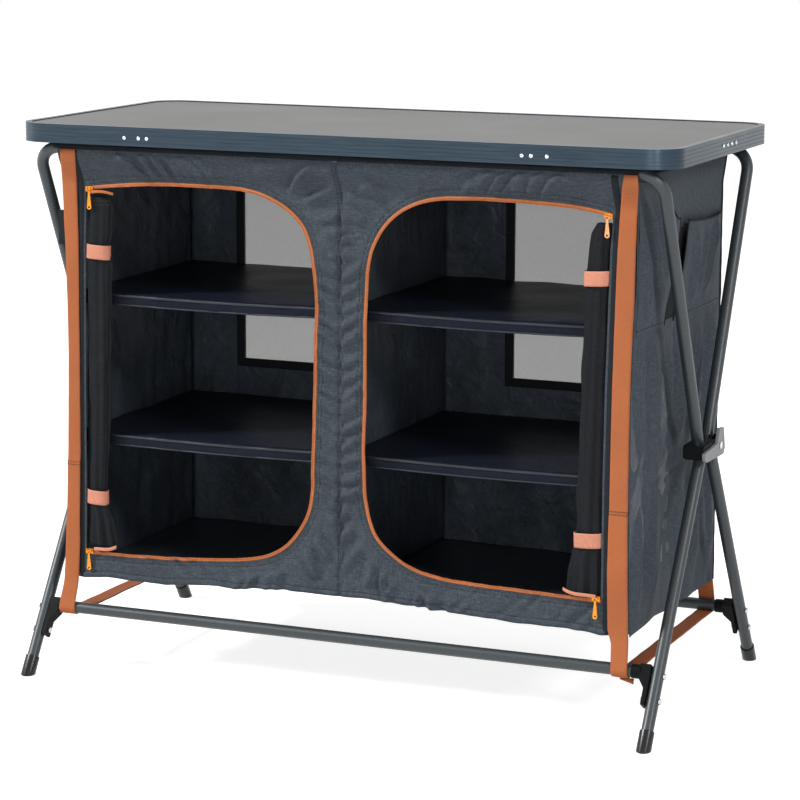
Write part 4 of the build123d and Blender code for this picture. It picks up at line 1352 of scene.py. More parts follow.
@dataclass
class CabinetShell:
    """The cabinet's cloth walls other than its front, with the windows."""

    window_inner: float = 127.0
    window_outer: float = 371.0
    window_low: float = 467.0
    window_high: float = 800.0
    frame_width: float = 14.0

    def end_lift(self, side: int) -> Callable[[Points, Points], Points]:
        """Folds of an end wall, by distance from its front edge and height above its foot.

        Args:
            side: 1 for the right end, minus 1 for the left.

        Returns:
            Function that gives the lift.
        """
        source = np.random.default_rng(31 + side)
        jitter = source.uniform
        folds = [
            Fold((20, 700), (34, 470), 12, 7.5, 3),
            Fold((48, 704), (84, 440), 14, 8.5, 6),
            Fold((14, 462), (50, 250), 18, 8.0, 6),
            Fold((84, 460), (130, 232), 20, 9.0, -8),
            Fold((165, 445), (200, 240), 18, 6.0, 8),
            Fold((255, 450), (215, 246), 22, 8.0, 8),
            Fold((335, 445), (300, 244), 20, 7.0, -8),
            Fold((398, 455), (366, 250), 15, 6.0, 5),
            Fold((44, 214), (20, 16), 20, 6.5, 6),
            Fold((130, 222), (100, 22), 22, 6.0, -6),
            Fold((215, 226), (240, 16), 22, 6.0, 8),
            Fold((300, 232), (332, 24), 20, 5.5, -6),
            Fold((385, 238), (400, 20), 16, 5.0, 4),
        ]
        for _ in range(12):
            y, z = jitter(30, 400), jitter(40, 420)
            end = (y + jitter(-40, 40), z - 40)
            folds.append(Fold((y, z + jitter(60, 110)), end, jitter(10, 16), jitter(1.8, 4.0), jitter(-6, 6)))

        def lift(u: Points, v: Points) -> Points:
            """Lift in millimetres.

            Args:
                u: Distance from the front edge.
                v: Height above the foot.

            Returns:
                Lift at each point.
            """
            width = PLAN.deep
            seam_low = v - (207 + 33 * u / width)
            seam_high = v - 458
            height = 1.35 * lift_all(folds, u, v) + 2.2 * ripple(u, v * 0.4, 80, 41 + side)
            height = height - 2.0 * np.exp(-((seam_low / 4) ** 2)) - 1.6 * np.exp(-((seam_high / 4) ** 2))
            edge = ease(u / 16) * ease((width - u) / 16) * ease((PLAN.tall - v) / 12)
            if side > 0:
                edge = edge * (1 - ease((v - 446) / 12))
            return height * edge

        return lift

    def inner_lift(self, seed: int, height: float = 1.6) -> Callable[[Points, Points], Points]:
        """Soft random folds of an inner wall.

        Args:
            seed: Seed of the folds.
            height: How high they are.

        Returns:
            Function that gives the lift.
        """

        def lift(u: Points, v: Points) -> Points:
            """Lift in millimetres."""
            edge = ease(u / 20) * ease((u.max() - u) / 20) * ease(v / 20) * ease((v.max() - v) / 20)
            return height * edge * (1.4 * ripple(u, v * 0.6, 110, seed) + 0.8 * ripple(u, v, 45, seed + 1))

        return lift

    def back_lift(self, seed: int, height: float) -> Callable[[Points, Points], Points]:
        """Soft folds of a back wall that lie flat round its window.

        Args:
            seed: Seed of the folds.
            height: How high they are.

        Returns:
            Function that gives the lift.
        """
        soft = self.inner_lift(seed, height)
        middle_u = (self.window_inner + self.window_outer) / 2
        middle_v = (self.window_low + self.window_high) / 2 - PLAN.low
        reach_u, reach_v = (self.window_outer - self.window_inner) / 2, (self.window_high - self.window_low) / 2

        def lift(u: Points, v: Points) -> Points:
            """Lift in millimetres."""
            gap = np.maximum(np.abs(u - middle_u) - reach_u, np.abs(v - middle_v) - reach_v)
            return soft(u, v) * ease((gap - 24) / 50)

        return lift

    def ends(self) -> None:
        """Builds the two end walls and their inner linings."""
        wide, tall = PLAN.deep, PLAN.tall
        for name, side in SIDES:
            FlatCloth(
                f"end_cloth_{name}", f"end_panel_{name}", (side * PLAN.half_width, -PLAN.half_depth, PLAN.low),
                (0, wide, 0), (0, 0, tall), (side, 0, 0), OUTER_CLOTH, self.end_lift(side), step=5.0, hung=True,
            ).make()
            FlatCloth(
                f"end_lining_{name}", "", (side * (PLAN.half_width - 7), -PLAN.half_depth + 3, PLAN.low + 4),
                (0, wide - 6, 0), (0, 0, tall - 8), (-side, 0, 0), INNER_CLOTH, self.inner_lift(50 + side),
            ).make()

    def back(self) -> None:
        """Builds the back wall in two halves, each with its window."""
        tall = PLAN.tall
        hole = (self.window_inner, self.window_outer, self.window_low - PLAN.low, self.window_high - PLAN.low)
        for name, side in SIDES:
            FlatCloth(
                f"back_cloth_{name}", "back_panel" if side > 0 else "", (0, PLAN.half_depth, PLAN.low),
                (side * PLAN.half_width, 0, 0), (0, 0, tall), (0, 1, 0), OUTER_CLOTH,
                self.back_lift(60 + side, 1.6), hole=hole, hung=True,
            ).make()
            FlatCloth(
                f"back_lining_{name}", "", (side * 3, PLAN.half_depth - 5, PLAN.low + 4),
                (side * (PLAN.half_width - 12), 0, 0), (0, 0, tall - 8), (0, -1, 0), INNER_CLOTH,
                self.back_lift(70 + side, 1.2), hole=(hole[0] - 3, hole[1] - 3, hole[2] - 4, hole[3] - 4),
            ).make()
            self.window(name, side)

    def window(self, name: str, side: int) -> None:
        """Builds a window net with its bound edge.

        Args:
            name: Name of the side.
            side: Sign of X.
        """
        wide, tall = self.window_outer - self.window_inner, self.window_high - self.window_low
        net = FlatCloth(
            f"window_net_{name}", f"window_{name}",
            (side * (self.window_inner - 4), PLAN.half_depth - 2.4, self.window_low - 4),
            (side * (wide + 8), 0, 0), (0, 0, tall + 8), (0, 1, 0), NET,
            self.inner_lift(80 + side, 0.5), step=12.0, cloth=0.4,
        ).make()
        edge = self.frame_width
        for face, y in (("in", PLAN.half_depth - 7.4), ("out", PLAN.half_depth + 0.7)):
            inner = [(self.window_inner, self.window_low), (self.window_outer, self.window_low),
                     (self.window_outer, self.window_high), (self.window_inner, self.window_high)]
            rows = []
            for grow, rise in ((0, -0.5), (1.5, 0.6), (edge - 1.5, 0.6), (edge, -0.5)):
                for index, (x, z) in enumerate(inner):
                    out_x = -grow if index in (0, 3) else grow
                    out_z = -grow if index < 2 else grow
                    lift = rise if face == "out" else -rise
                    rows.append((side * (x + out_x), y + lift, z + out_z))
            hang_sheet(
                f"window_binding_{face}_{name}", np.array(rows), grid_faces(4, 4, round_columns=True),
                (0, 1 if face == "out" else -1, 0), 0.6, BINDING, smooth=False,
            )

    def corner_cords(self) -> None:
        """Binds the rear corners with a gathered dark edge that hides the strap behind it."""
        for name, side in SIDES:
            z = np.linspace(PLAN.low + 2, PLAN.high - 4, 220)
            gather = 0.7 * ripple(z, z * 0, 70, 95 + side) + 0.3 * ripple(z, z * 0, 24, 97 + side)
            swell = 0.6 * ease((z - 420) / 60)
            path = np.stack([side * (PLAN.half_width - 0.5 + 0.4 * gather), PLAN.half_depth + swell + 0 * z, z], axis=1)
            hang_cord(f"rear_corner_binding_{name}", settle(path), 1.9 + swell + 0.2 * gather, 12, BINDING)

    def middle(self) -> None:
        """Builds the divider, roof and floor."""
        tall, deep = PLAN.tall, PLAN.deep
        for name, side in SIDES:
            FlatCloth(
                f"divider_cloth_{name}", "divider_panel" if side > 0 else "",
                (side * 0.7, -PLAN.half_depth + 2.5, PLAN.low + 19),
                (0, deep - 5, 0), (0, 0, tall - 22), (side, 0, 0), INNER_CLOTH, self.divider_lift(side),
            ).make()
        FlatCloth(
            "roof_cloth", "roof_panel", (-PLAN.half_width + 1, -PLAN.half_depth + 1, PLAN.high - 2),
            (2 * PLAN.half_width - 2, 0, 0), (0, deep - 2, 0), (0, 0, 1), OUTER_CLOTH,
            self.inner_lift(90, 0.4), step=14.0,
        ).make()
        FlatCloth(
            "floor_cloth", "floor_panel", (-PLAN.half_width + 3, -PLAN.half_depth + 3, PLAN.low + 6),
            (2 * PLAN.half_width - 6, 0, 0), (0, deep - 6, 0), (0, 0, -1), OUTER_CLOTH, self.floor_lift, step=14.0,
        ).make()

    def floor_lift(self, u: Points, v: Points) -> Points:
        """Downward lift of the floor cloth, which rises with the hem."""
        x = u - PLAN.half_width + 3
        return -floor_rise(x, v - PLAN.half_depth + 3)

    def divider_lift(self, side: int) -> Callable[[Points, Points], Points]:
        """Soft folds that never reach through the divider.

        Args:
            side: Sign of X of the face.

        Returns:
            Function that gives the lift.
        """
        soft = self.inner_lift(85 + side, 0.9)
        return lambda u, v: soft(u, v) + 2.6

    def make(self) -> None:
        """Builds the shell."""
        self.ends()
        self.back()
        self.corner_cords()
        self.middle()


@dataclass
class Shelf:
    """A board in a glossy sewn cover, with a piping line along its front edge."""

    node: str
    side: int
    top: float
    thick: float
    front_y: float = -194.8
    back_y: float = 208.0
    inner_x: float = 3.5
    outer_x: float = 470.0
    sag: float = 3.0
    seed: int = 0
    columns: int = 110

    @property
    def on_floor(self) -> bool:
        """Whether it is a board of the cabinet's floor."""
        return self.node.startswith("floor")

    def section(self) -> Points:
        """Outline of the cover, from the back round the front to the back.

        Returns:
            Y and height below the top, one row for each point.
        """
        half = self.thick / 2
        turns = np.linspace(1.45, -1.45, 15)
        nose = [(self.front_y + half * 0.55 * (1 - math.cos(a)), -half + half * math.sin(a)) for a in turns]
        top = [(y, 0.0) for y in np.linspace(self.back_y, self.front_y + 12, 34)]
        under = [(y, -self.thick) for y in np.linspace(self.front_y + 12, self.back_y, 12)]
        return np.array(top + nose + under)

    def make(self) -> None:
        """Builds the shelf and its piping."""
        outline = self.section()
        x = np.linspace(self.inner_x, self.outer_x, self.columns)
        rows = []
        for place in x:
            share = (place - self.inner_x) / (self.outer_x - self.inner_x)
            fall = self.sag * math.sin(math.pi * share)
            y, z = outline[:, 0].copy(), outline[:, 1].copy()
            front = np.exp(-((y - self.front_y) / 26) ** 2)
            across = np.full_like(y, place)
            soft = 0.7 * ripple(across, y, 120, self.seed) + front * 0.5 * ripple(across, z * 3, 46, self.seed + 1)
            z = z + np.where(z > -self.thick / 2, 1, 0.3) * soft - fall * (0.35 + 0.65 * front)
            y = y + front * 0.6 * ripple(across, z, 60, self.seed + 2)
            if self.on_floor:
                z = z + floor_rise(self.side * across, y)
            rows.append(np.stack([self.side * across, y, self.top + z], axis=1))
        obj = build_mesh(f"{self.node}_cover", np.concatenate(rows), tube_faces(self.columns, len(outline)))
        face_outwards(obj)
        finish, stands_for = (FLOOR_CLOTH, []) if self.on_floor else (SHELF_CLOTH, [self.node])
        fit(obj, finish, "cabinet", stands_for)
        collapse(obj)
        self.piping(x)

    def piping(self, x: Points) -> None:
        """Sews two lines of piping along the front edge.

        Args:
            x: Places along the shelf.
        """
        for name, drop, radius in (("upper", 3.2, 2.6), ("lower", self.thick - 2.2, 1.6)):
            share = (x - self.inner_x) / (self.outer_x - self.inner_x)
            fall = self.sag * np.sin(math.pi * share)
            wave = 0.5 * ripple(x, x * 0 + self.top, 60, self.seed + 2)
            y = self.front_y - 0.2 + 2.4 * (1 if name == "lower" else 0.6) + wave
            rise = floor_rise(self.side * x, y) if self.on_floor else 0 * x
            path = np.stack([self.side * x, y, self.top - drop - fall + rise], axis=1)
            hang_cord(f"{self.node}_piping_{name}", path, radius, 8, PIPING)


@dataclass
class Shelves:
    """Four shelves and the two floor boards."""

    levels: tuple[tuple[str, float], ...] = (("lower", 404.0), ("upper", 634.0))
    floor_top: float = 172.2
    floor_thick: float = 9.0

    def make(self) -> None:
        """Builds them all."""
        for name, side in SIDES:
            for index, (level, top) in enumerate(self.levels):
                Shelf(f"shelf_{name}_{level}", side, top, 20.0, seed=100 + 10 * index + side).make()
            Shelf(f"floor_board_{name}", side, self.floor_top + 2, self.floor_thick, sag=0.5, seed=130 + side).make()
        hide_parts("floor_boards")


@dataclass
class DoorRoll:
    """A door rolled up at its hinge side and tied with two loops."""

    side_name: str
    side: int
    outer_x: float = 440.0
    y: float = -209.0
    low: float = 219.0
    high: float = 790.0
    depth: float = 9.2
    sides: int = 96
    rows: int = 150
    loop_tall: float = 23.0

    def half_width(self, z: Points) -> Points:
        """Half the roll's width at a height.

        Args:
            z: Height or heights.

        Returns:
            Half the width at each.
        """
        if self.side > 0:
            heights = (self.low, 262.0, 306.0, 335.0, 480.0, 690.0, 707.0, 735.0, 775.0, self.high)
            widths = (27.5, 25.5, 21.0, 20.5, 19.5, 18.0, 18.5, 17.5, 16.0, 12.0)
        else:
            heights = (self.low, 262.0, 299.0, 330.0, 480.0, 685.0, 701.0, 730.0, 775.0, self.high)
            widths = (27.5, 23.0, 15.4, 16.5, 20.0, 20.5, 18.0, 21.0, 21.5, 18.0)
        return np.interp(z, heights, widths)

    def cloth(self) -> None:
        """Builds the rolled cloth with its long soft folds."""
        z = np.linspace(self.low, self.high, self.rows)
        turns = np.linspace(0, 2 * math.pi, self.sides, endpoint=False)
        seed = 200 + self.side
        rows = []
        for height in z:
            half = float(self.half_width(height))
            spread = float(ease((320 - height) / 100))
            lobes = 0.10 * np.cos(5 * turns + 1.3 * math.sin(height / 130) + self.side)
            lobes = lobes + 0.06 * np.cos(9 * turns - height / 190 + 2) + 0.05 * np.cos(3 * turns + height / 80)
            lobes = lobes + spread * 0.16 * np.cos(8 * turns + 0.4 * math.sin(height / 22))
            crush = 0.06 * ripple(turns * 14, np.full_like(turns, height * 0.5), 34, seed)
            scale = 1 - 0.15 + lobes * 0.8 + crush
            x = self.outer_x - half + half * scale * np.cos(turns)
            deep = self.depth * (1 + 0.35 * spread)
            y = self.y + deep * scale * np.sin(turns)
            x = x + 4.5 * np.maximum(np.cos(turns), 0) ** 2
            x = np.minimum(x, self.outer_x + 4.5)
            lip = 2.5 * spread * np.cos(turns)
            rows.append(np.stack([self.side * x, y, np.full_like(x, height) + lip * (height < self.low + 30)], axis=1))
        points = settle(np.concatenate(rows))
        obj = build_mesh(f"rolled_door_{self.side_name}", points, tube_faces(self.rows, self.sides))
        face_outwards(obj)
        fit(obj, DOOR_CLOTH, "cabinet", [f"door_roll_{self.side_name}"])
        collapse(obj)

    def loop(self, level: float) -> bpy.types.Object:
        """Builds one loop of ribbon round the roll, with its sewn tail.

        Args:
            level: Height of its middle.

        Returns:
            The loop.
        """
        half = float(self.half_width(level)) + 1.4
        middle = self.outer_x - half + 2.4
        turns = np.linspace(0, 2 * math.pi, 72, endpoint=False)
        flat_x = np.sign(np.cos(turns)) * np.abs(np.cos(turns)) ** 0.75
        flat_y = np.sign(np.sin(turns)) * np.abs(np.sin(turns)) ** 0.85
        rows = []
        for share in np.linspace(-1, 1, 9):
            ease_in = 1 + 0.02 * share * self.side
            x = middle + half * flat_x * ease_in
            y = self.y + (self.depth + 1.6) * flat_y
            z = level + self.loop_tall / 2 * share + 1.2 * np.cos(turns)
            rows.append(np.stack([self.side * x, y, z], axis=1))
        points = settle(np.concatenate(rows))
        obj = build_mesh(f"loop_{self.side_name}_{int(level)}", points, grid_faces(9, 72, round_columns=True))
        face_outwards(obj)
        thicken(obj, 1.1, 1.0)
        return hang(obj, RIBBON)

    def stub(self) -> None:
        """Adds the free end of zip tape that curls along the roll's foot."""
        half = float(self.half_width(self.low))
        share = np.linspace(0, 1, 40)
        start = 6 if self.side > 0 else 16
        x = PLAN.hinge_x - start - share * (2 * half + 4 - start)
        y = -PLAN.half_depth - 4.5 - 6 * np.sin(share * math.pi * 0.8)
        z = HALVES[self.side].opening[0][1] + 3 + 8.5 * share**2 + 1.0 * np.sin(share * 6)
        rows = []
        for lift, out in ((0, 0), (3.2, 1.4), (6.4, 0.4)):
            rows.append(np.stack([self.side * x, y - out, z + lift], axis=1))
        hang_sheet(
            f"zip_end_{self.side_name}", settle(np.concatenate(rows)), grid_faces(3, 40), FRONT, 0.8, RIBBON,
            rounded=True,
        )

    def top_stub(self) -> None:
        """Adds the short curled tape and the stitched patch beside the left top slider."""
        share = np.linspace(0, 1, 30)
        x = 434 - 42 * share
        y = -PLAN.half_depth - 4.0 - 4.0 * np.sin(share * math.pi)
        z = 794.0 + 3.5 * np.sin(share * 3.0) - 1.5 * share
        rows = [np.stack([self.side * x, y - out, z + lift], axis=1) for lift, out in ((0, 0), (2.6, 1.2), (5.2, 0.3))]
        hang_sheet(
            f"zip_stub_{self.side_name}", settle(np.concatenate(rows)), grid_faces(3, 30), FRONT, 0.8, ZIP_TAPE,
            rounded=True,
        )
        x, y = self.side * np.linspace(432, 400, 20), np.full(20, self.y - self.depth * 1.12)
        lines = [settle(np.stack([x, y, np.full(20, height)], axis=1)) for height in (778.0, 783.5)]
        STRAP_STITCHES.sew(f"stub_stitches_{self.side_name}", lines)

    def make(self) -> None:
        """Builds the roll, its loops and its zip end."""
        self.cloth()
        loops = [self.loop(level) for level in ((306.0, 707.0) if self.side > 0 else (299.0, 701.0))]
        if self.side > 0:
            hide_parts("roll_loops")
        else:
            self.top_stub()
        self.stub()


@dataclass
class Strap:
    """A long webbing strap: down the front, under both crossbars and up the back."""

    side_name: str
    side: int
    thick: float = 1.2
    joint_z: float = 357.0
    joint_step: float = 1.1
    top_drift: float = 9.8

    def middle_path(self) -> Points:
        """Middle line of the strap, from the front top to the rear top.

        Returns:
            Y and Z, one row for each point.
        """
        wrap = PLAN.tube + 0.9
        face = PLAN.half_depth + 2.4
        turn_z = PLAN.low - 4
        rise = turn_z - PLAN.crossbar_z
        lean = math.atan2(face - PLAN.crossbar_y, rise) + math.acos(wrap / math.hypot(face - PLAN.crossbar_y, rise))
        half = [(-face, z) for z in np.linspace(PLAN.high, turn_z, 150)]
        touch = (-PLAN.crossbar_y - wrap * math.sin(lean), PLAN.crossbar_z + wrap * math.cos(lean))
        half += [tuple(np.array((-face, turn_z)) * (1 - s) + np.array(touch) * s) for s in np.linspace(0.1, 0.95, 12)]
        for turn in np.linspace(lean, math.pi, 16):
            half.append((-PLAN.crossbar_y - wrap * math.sin(turn), PLAN.crossbar_z + wrap * math.cos(turn)))
        foot = PLAN.crossbar_z - wrap
        half += [(y, foot) for y in np.linspace(-PLAN.crossbar_y + 8, 0, 40)]
        line = np.array(half)
        back = line[::-1][1:] * np.array([-1, 1])
        return np.concatenate([line, back])

    def edges(self, z: Points, y: Points) -> tuple[Points, Points]:
        """Near and far edge in X at each point of the path.

        Args:
            z: Heights of the path's points.
            y: Depths of the path's points.

        Returns:
            The edge nearer the middle, and the edge nearer the end.
        """
        if self.side > 0:
            heights = (99.0, 150.0, 170.0, 264.0, 357.0, 449.0, 526.0, 602.0, 677.0, 752.0, 841.0, 866.0)
            near = (456.0, 453.0, 446.5, 444.0, 445.5, 446.0, 446.5, 448.0, 449.7, 451.5, 457.0, 460.0)
            far = (482.5, 480.5, 479.0, 476.5, 475.0, 474.5, 475.0, 476.5, 479.0, 479.8, 482.0, 480.0)
        else:
            heights = (99.0, 121.0, 150.0, 223.0, 273.0, 373.0, 456.0, 539.0, 620.0, 701.0, 782.0, 866.0)
            near = (470.0, 470.0, 467.0, 463.0, 462.5, 460.0, 459.5, 458.7, 458.7, 457.8, 458.5, 461.5)
            far = (499.5, 498.0, 493.5, 489.0, 486.0, 482.5, 480.5, 479.0, 479.5, 481.5, 484.0, 488.5)
        near, far = np.interp(z, heights, near), np.interp(z, heights, far)
        rear = ease(y / 120) * ease((z - 440) / 60)
        return near, far - rear * np.maximum(far - 476.0, 0)

    def make(self) -> None:
        """Builds the strap and its stitching."""
        line = self.middle_path()
        near, far = self.edges(line[:, 1], line[:, 0])
        out, length = -sideways(line), distances(line)
        columns = 9
        rows, runs = [], []
        for index in range(len(line)):
            for share in np.linspace(0, 1, columns):
                x = near[index] * (1 - share) + far[index] * share
                puff = 0.5 * math.sin(math.pi * share) + 0.35 * float(
                    ripple(np.array(length[index]), np.array(x * 1.0), 60, 300 + self.side)
                )
                doubled = self.joint_step * (line[index][1] < self.joint_z and line[index][0] < -200)
                y, z = line[index] + out[index] * (puff + doubled)
                rows.append((self.side * x, y, z))
                runs.append((x * MM, length[index] * MM, 0.0))
        hung = np.array(rows)
        climb = ease((hung[:, 2] - PLAN.hang_z) / (PLAN.hang_top - PLAN.hang_z))
        hung[:, 0] += (self.top_drift - 2.2 * self.side) * climb * (hung[:, 1] < 0)
        hung[:, 1] += np.sign(hung[:, 1]) * PLAN.hang_out * climb
        hung[:, 2] += PLAN.hang_up * climb
        obj = build_mesh(f"webbing_{self.side_name}", hung, grid_faces(len(line), columns))
        layer = obj.data.attributes.new("run", "FLOAT_VECTOR", "POINT")
        layer.data.foreach_set("vector", np.array(runs).ravel())
        front = [face for face in obj.data.polygons if face.center.y < -0.2 and face.center.z > 0.3]
        if sum(face.normal.y for face in front) > 0:
            obj.data.flip_normals()
        thicken(obj, self.thick)
        fit(obj, WEBBING, "cabinet", [f"strap_{self.side_name}"])
        collapse(obj)
        self.joint(line, near, far)
        if self.side > 0:
            self.tail()

    def joint(self, line: Points, near: Points, far: Points) -> None:
        """Sews across the strap where its doubled lower part starts.

        Args:
            line: Middle line of the strap.
            near: Edge nearer the middle at each point.
            far: Edge nearer the end at each point.
        """
        rows = []
        for drop in (1.0, 7.0):
            spot = int(np.argmin(np.abs(line[:150, 1] - self.joint_z + drop)))
            share = np.linspace(0.03, 0.97, 24)
            x = near[spot] * (1 - share) + far[spot] * share
            y = line[spot, 0] - self.joint_step - 0.6 - 0.5 * np.sin(math.pi * share)
            rows.append(np.stack([self.side * x, y, np.full_like(x, line[spot, 1])], axis=1))
        STITCHES.sew(f"webbing_joint_{self.side_name}", rows)

    def tail(self) -> None:
        """Adds the strap's short free end under the front crossbar."""
        u, v = np.meshgrid(np.linspace(0, 1, 8), np.linspace(0, 1, 6))
        x = 468 + 22 * u
        y = -PLAN.crossbar_y - 1 - 3 * np.sin(v * 2)
        z = PLAN.crossbar_z - PLAN.tube - 2.2 - 8.5 * v * (0.3 + 0.7 * u)
        points = np.stack([x, y, z], axis=-1).reshape(-1, 3)
        hang_sheet(
            f"webbing_tail_{self.side_name}", points, grid_faces(6, 8), FRONT, self.thick, WEBBING
        )


@dataclass
class EndPocket:
    """An open-topped pocket on the right end wall, with a slanting free edge beside the middle gap."""

    name: str
    front: tuple[float, float]
    rear: tuple[float, float]
    mouth: tuple[float, float]
    bulge: float
    stand_off: tuple[float, float]
    folds: list[Fold]
    seed: int
    seam: float = 621.0
    rows: int = 60
    columns: int = 54

    def sheet(self) -> Points:
        """Points of the pocket's outer face.

        Returns:
            One row of points for each level, from the seam up.
        """
        u, v = np.meshgrid(np.linspace(0, 1, self.columns), np.linspace(0, 1, self.rows))
        high = self.mouth[0] + (self.mouth[1] - self.mouth[0]) * ease((u - 0.35) / 0.6)
        high = high - 7.0 * np.sin(math.pi * u) * (self.mouth[0] < 800)
        z = self.seam + v * (high - self.seam)
        climb = (z - self.seam) / 150
        near = self.front[0] + (self.front[1] - self.front[0]) * climb
        far = self.rear[0] + (self.rear[1] - self.rear[0]) * climb
        y = near + u * (far - near)
        out = 1.2 + self.bulge * ease(0.15 + climb * 0.9) * np.sin(math.pi * u) ** 0.7
        loose_part = ease(climb / 0.9)
        out = out + self.stand_off[0] * loose_part * (1 - ease(u / 0.45))
        out = out + self.stand_off[1] * loose_part * ease((u - 0.55) / 0.45)
        sewn = ease(v / 0.06)
        out = out + sewn * (lift_all(self.folds, y, z) + 0.9 * ripple(y, z * 0.6, 60, self.seed))
        if self.mouth[0] > 800:
            out = out * (1 - 0.8 * ease((z - 790) / 60))
        return settle(np.stack([PLAN.half_width + np.maximum(out, 1.0), y, z], axis=-1))

    def make(self) -> None:
        """Builds the pocket, its mouth hem and its free edge."""
        points = self.sheet()
        obj = build_mesh(f"pocket_cloth_{self.name}", points.reshape(-1, 3), grid_faces(self.rows, self.columns))
        face_towards(obj, (1, 0, 0))
        thicken(obj, 1.0)
        fit(obj, OUTER_CLOTH, "cabinet", [f"end_pocket_{self.name}"])
        collapse(obj)
        free = points[:, -1] if self.stand_off[1] > self.stand_off[0] else points[:, 0]
        for part, line, radius in (("mouth", points[-1], 1.6), ("edge", free, 1.2)):
            hang_cord(f"pocket_{part}_{self.name}", line + np.array([0.2, 0, 0]), radius, 8, BINDING)
        STITCHES.sew(f"pocket_stitches_{self.name}", [points[2] + np.array([0.15, 0, 0])])


@dataclass
class EndPockets:
    """Both pockets, and a near black sheet that paints the shade between them."""

    def lining(self) -> None:
        """Puts a near black sheet on the wall behind the pockets: painted shade where the gap and the pocket mouths lie
        in shade.
        """
        corners = [(-196.0, 628.0), (200.0, 628.0), (200.0, 764.0), (-60.0, 764.0), (-196.0, 764.0)]
        points = np.array([(PLAN.half_width + 0.8, y, z) for y, z in corners])
        # Painted shade: near black door cloth laid flat where only the pockets' shade lies
        hang_sheet("pocket_painted_shade", settle(points), [(0, 1, 2, 3, 4)], (1, 0, 0), 0.4, DOOR_CLOTH)

    def make(self) -> None:
        """Builds them."""
        front_folds = [
            Fold((-197, 846), (-90, 634), 12, 7.5, 8),
            Fold((-158, 846), (-84, 668), 11, 7.0, 6),
            Fold((-208, 790), (-150, 632), 12, 5.0, 5),
        ]
        rear_folds = [
            Fold((40, 772), (66, 632), 13, 5.6, 6),
            Fold((184, 766), (118, 634), 12, 7.2, -8),
            Fold((120, 764), (96, 640), 14, 4.0, 5),
        ]
        EndPocket("front", (-208, -208), (-76, -39), (852, 782), 7.0, (0.0, 9.0), front_folds, 401).make()
        EndPocket("rear", (-30, 7), (206, 206), (774, 768), 9.0, (9.0, 1.0), rear_folds, 402).make()
        # Painted shade behind the pockets
        self.lining()


@dataclass
class BarSleeves:
    """Black cloth sleeves that hang the cabinet from the two top bars."""

    top_reach: float = 497.0
    low_reach: float = 480.0
    radius: float = 10.7
    columns: int = 160

    def section(self) -> Points:
        """Profile of the sleeve over the bar.

        Returns:
            Depth, height and share of the longer reach, one row for each point.
        """
        spots = []
        for turn in np.radians(np.linspace(200, -6, 30)):
            out, up = math.cos(turn), math.sin(turn)
            spots.append((PLAN.bar_y + self.radius * out, PLAN.bar_z + self.radius * up, (1 + up) / 2))
        return np.array(spots)

    def make(self) -> None:
        """Builds a sleeve for each bar."""
        share = np.linspace(-1, 1, self.columns)
        for name, end in (("front", -1), ("rear", 1)):
            rows = []
            for y, z, rise in self.section():
                reach = self.low_reach + (self.top_reach - self.low_reach) * rise
                x = share * reach
                wave = 0.35 * ripple(x, x * 0 + z * 4, 60, 500 + end)
                rows.append(np.stack([x, end * (y + wave), z + wave * 0.5], axis=1))
            hang_sheet(
                f"bar_sleeve_{name}", np.concatenate(rows), grid_faces(len(rows), self.columns), (0, end, 0.3), 0.6,
                BINDING, replaces=["top_sleeves"] if end < 0 else [],
            )


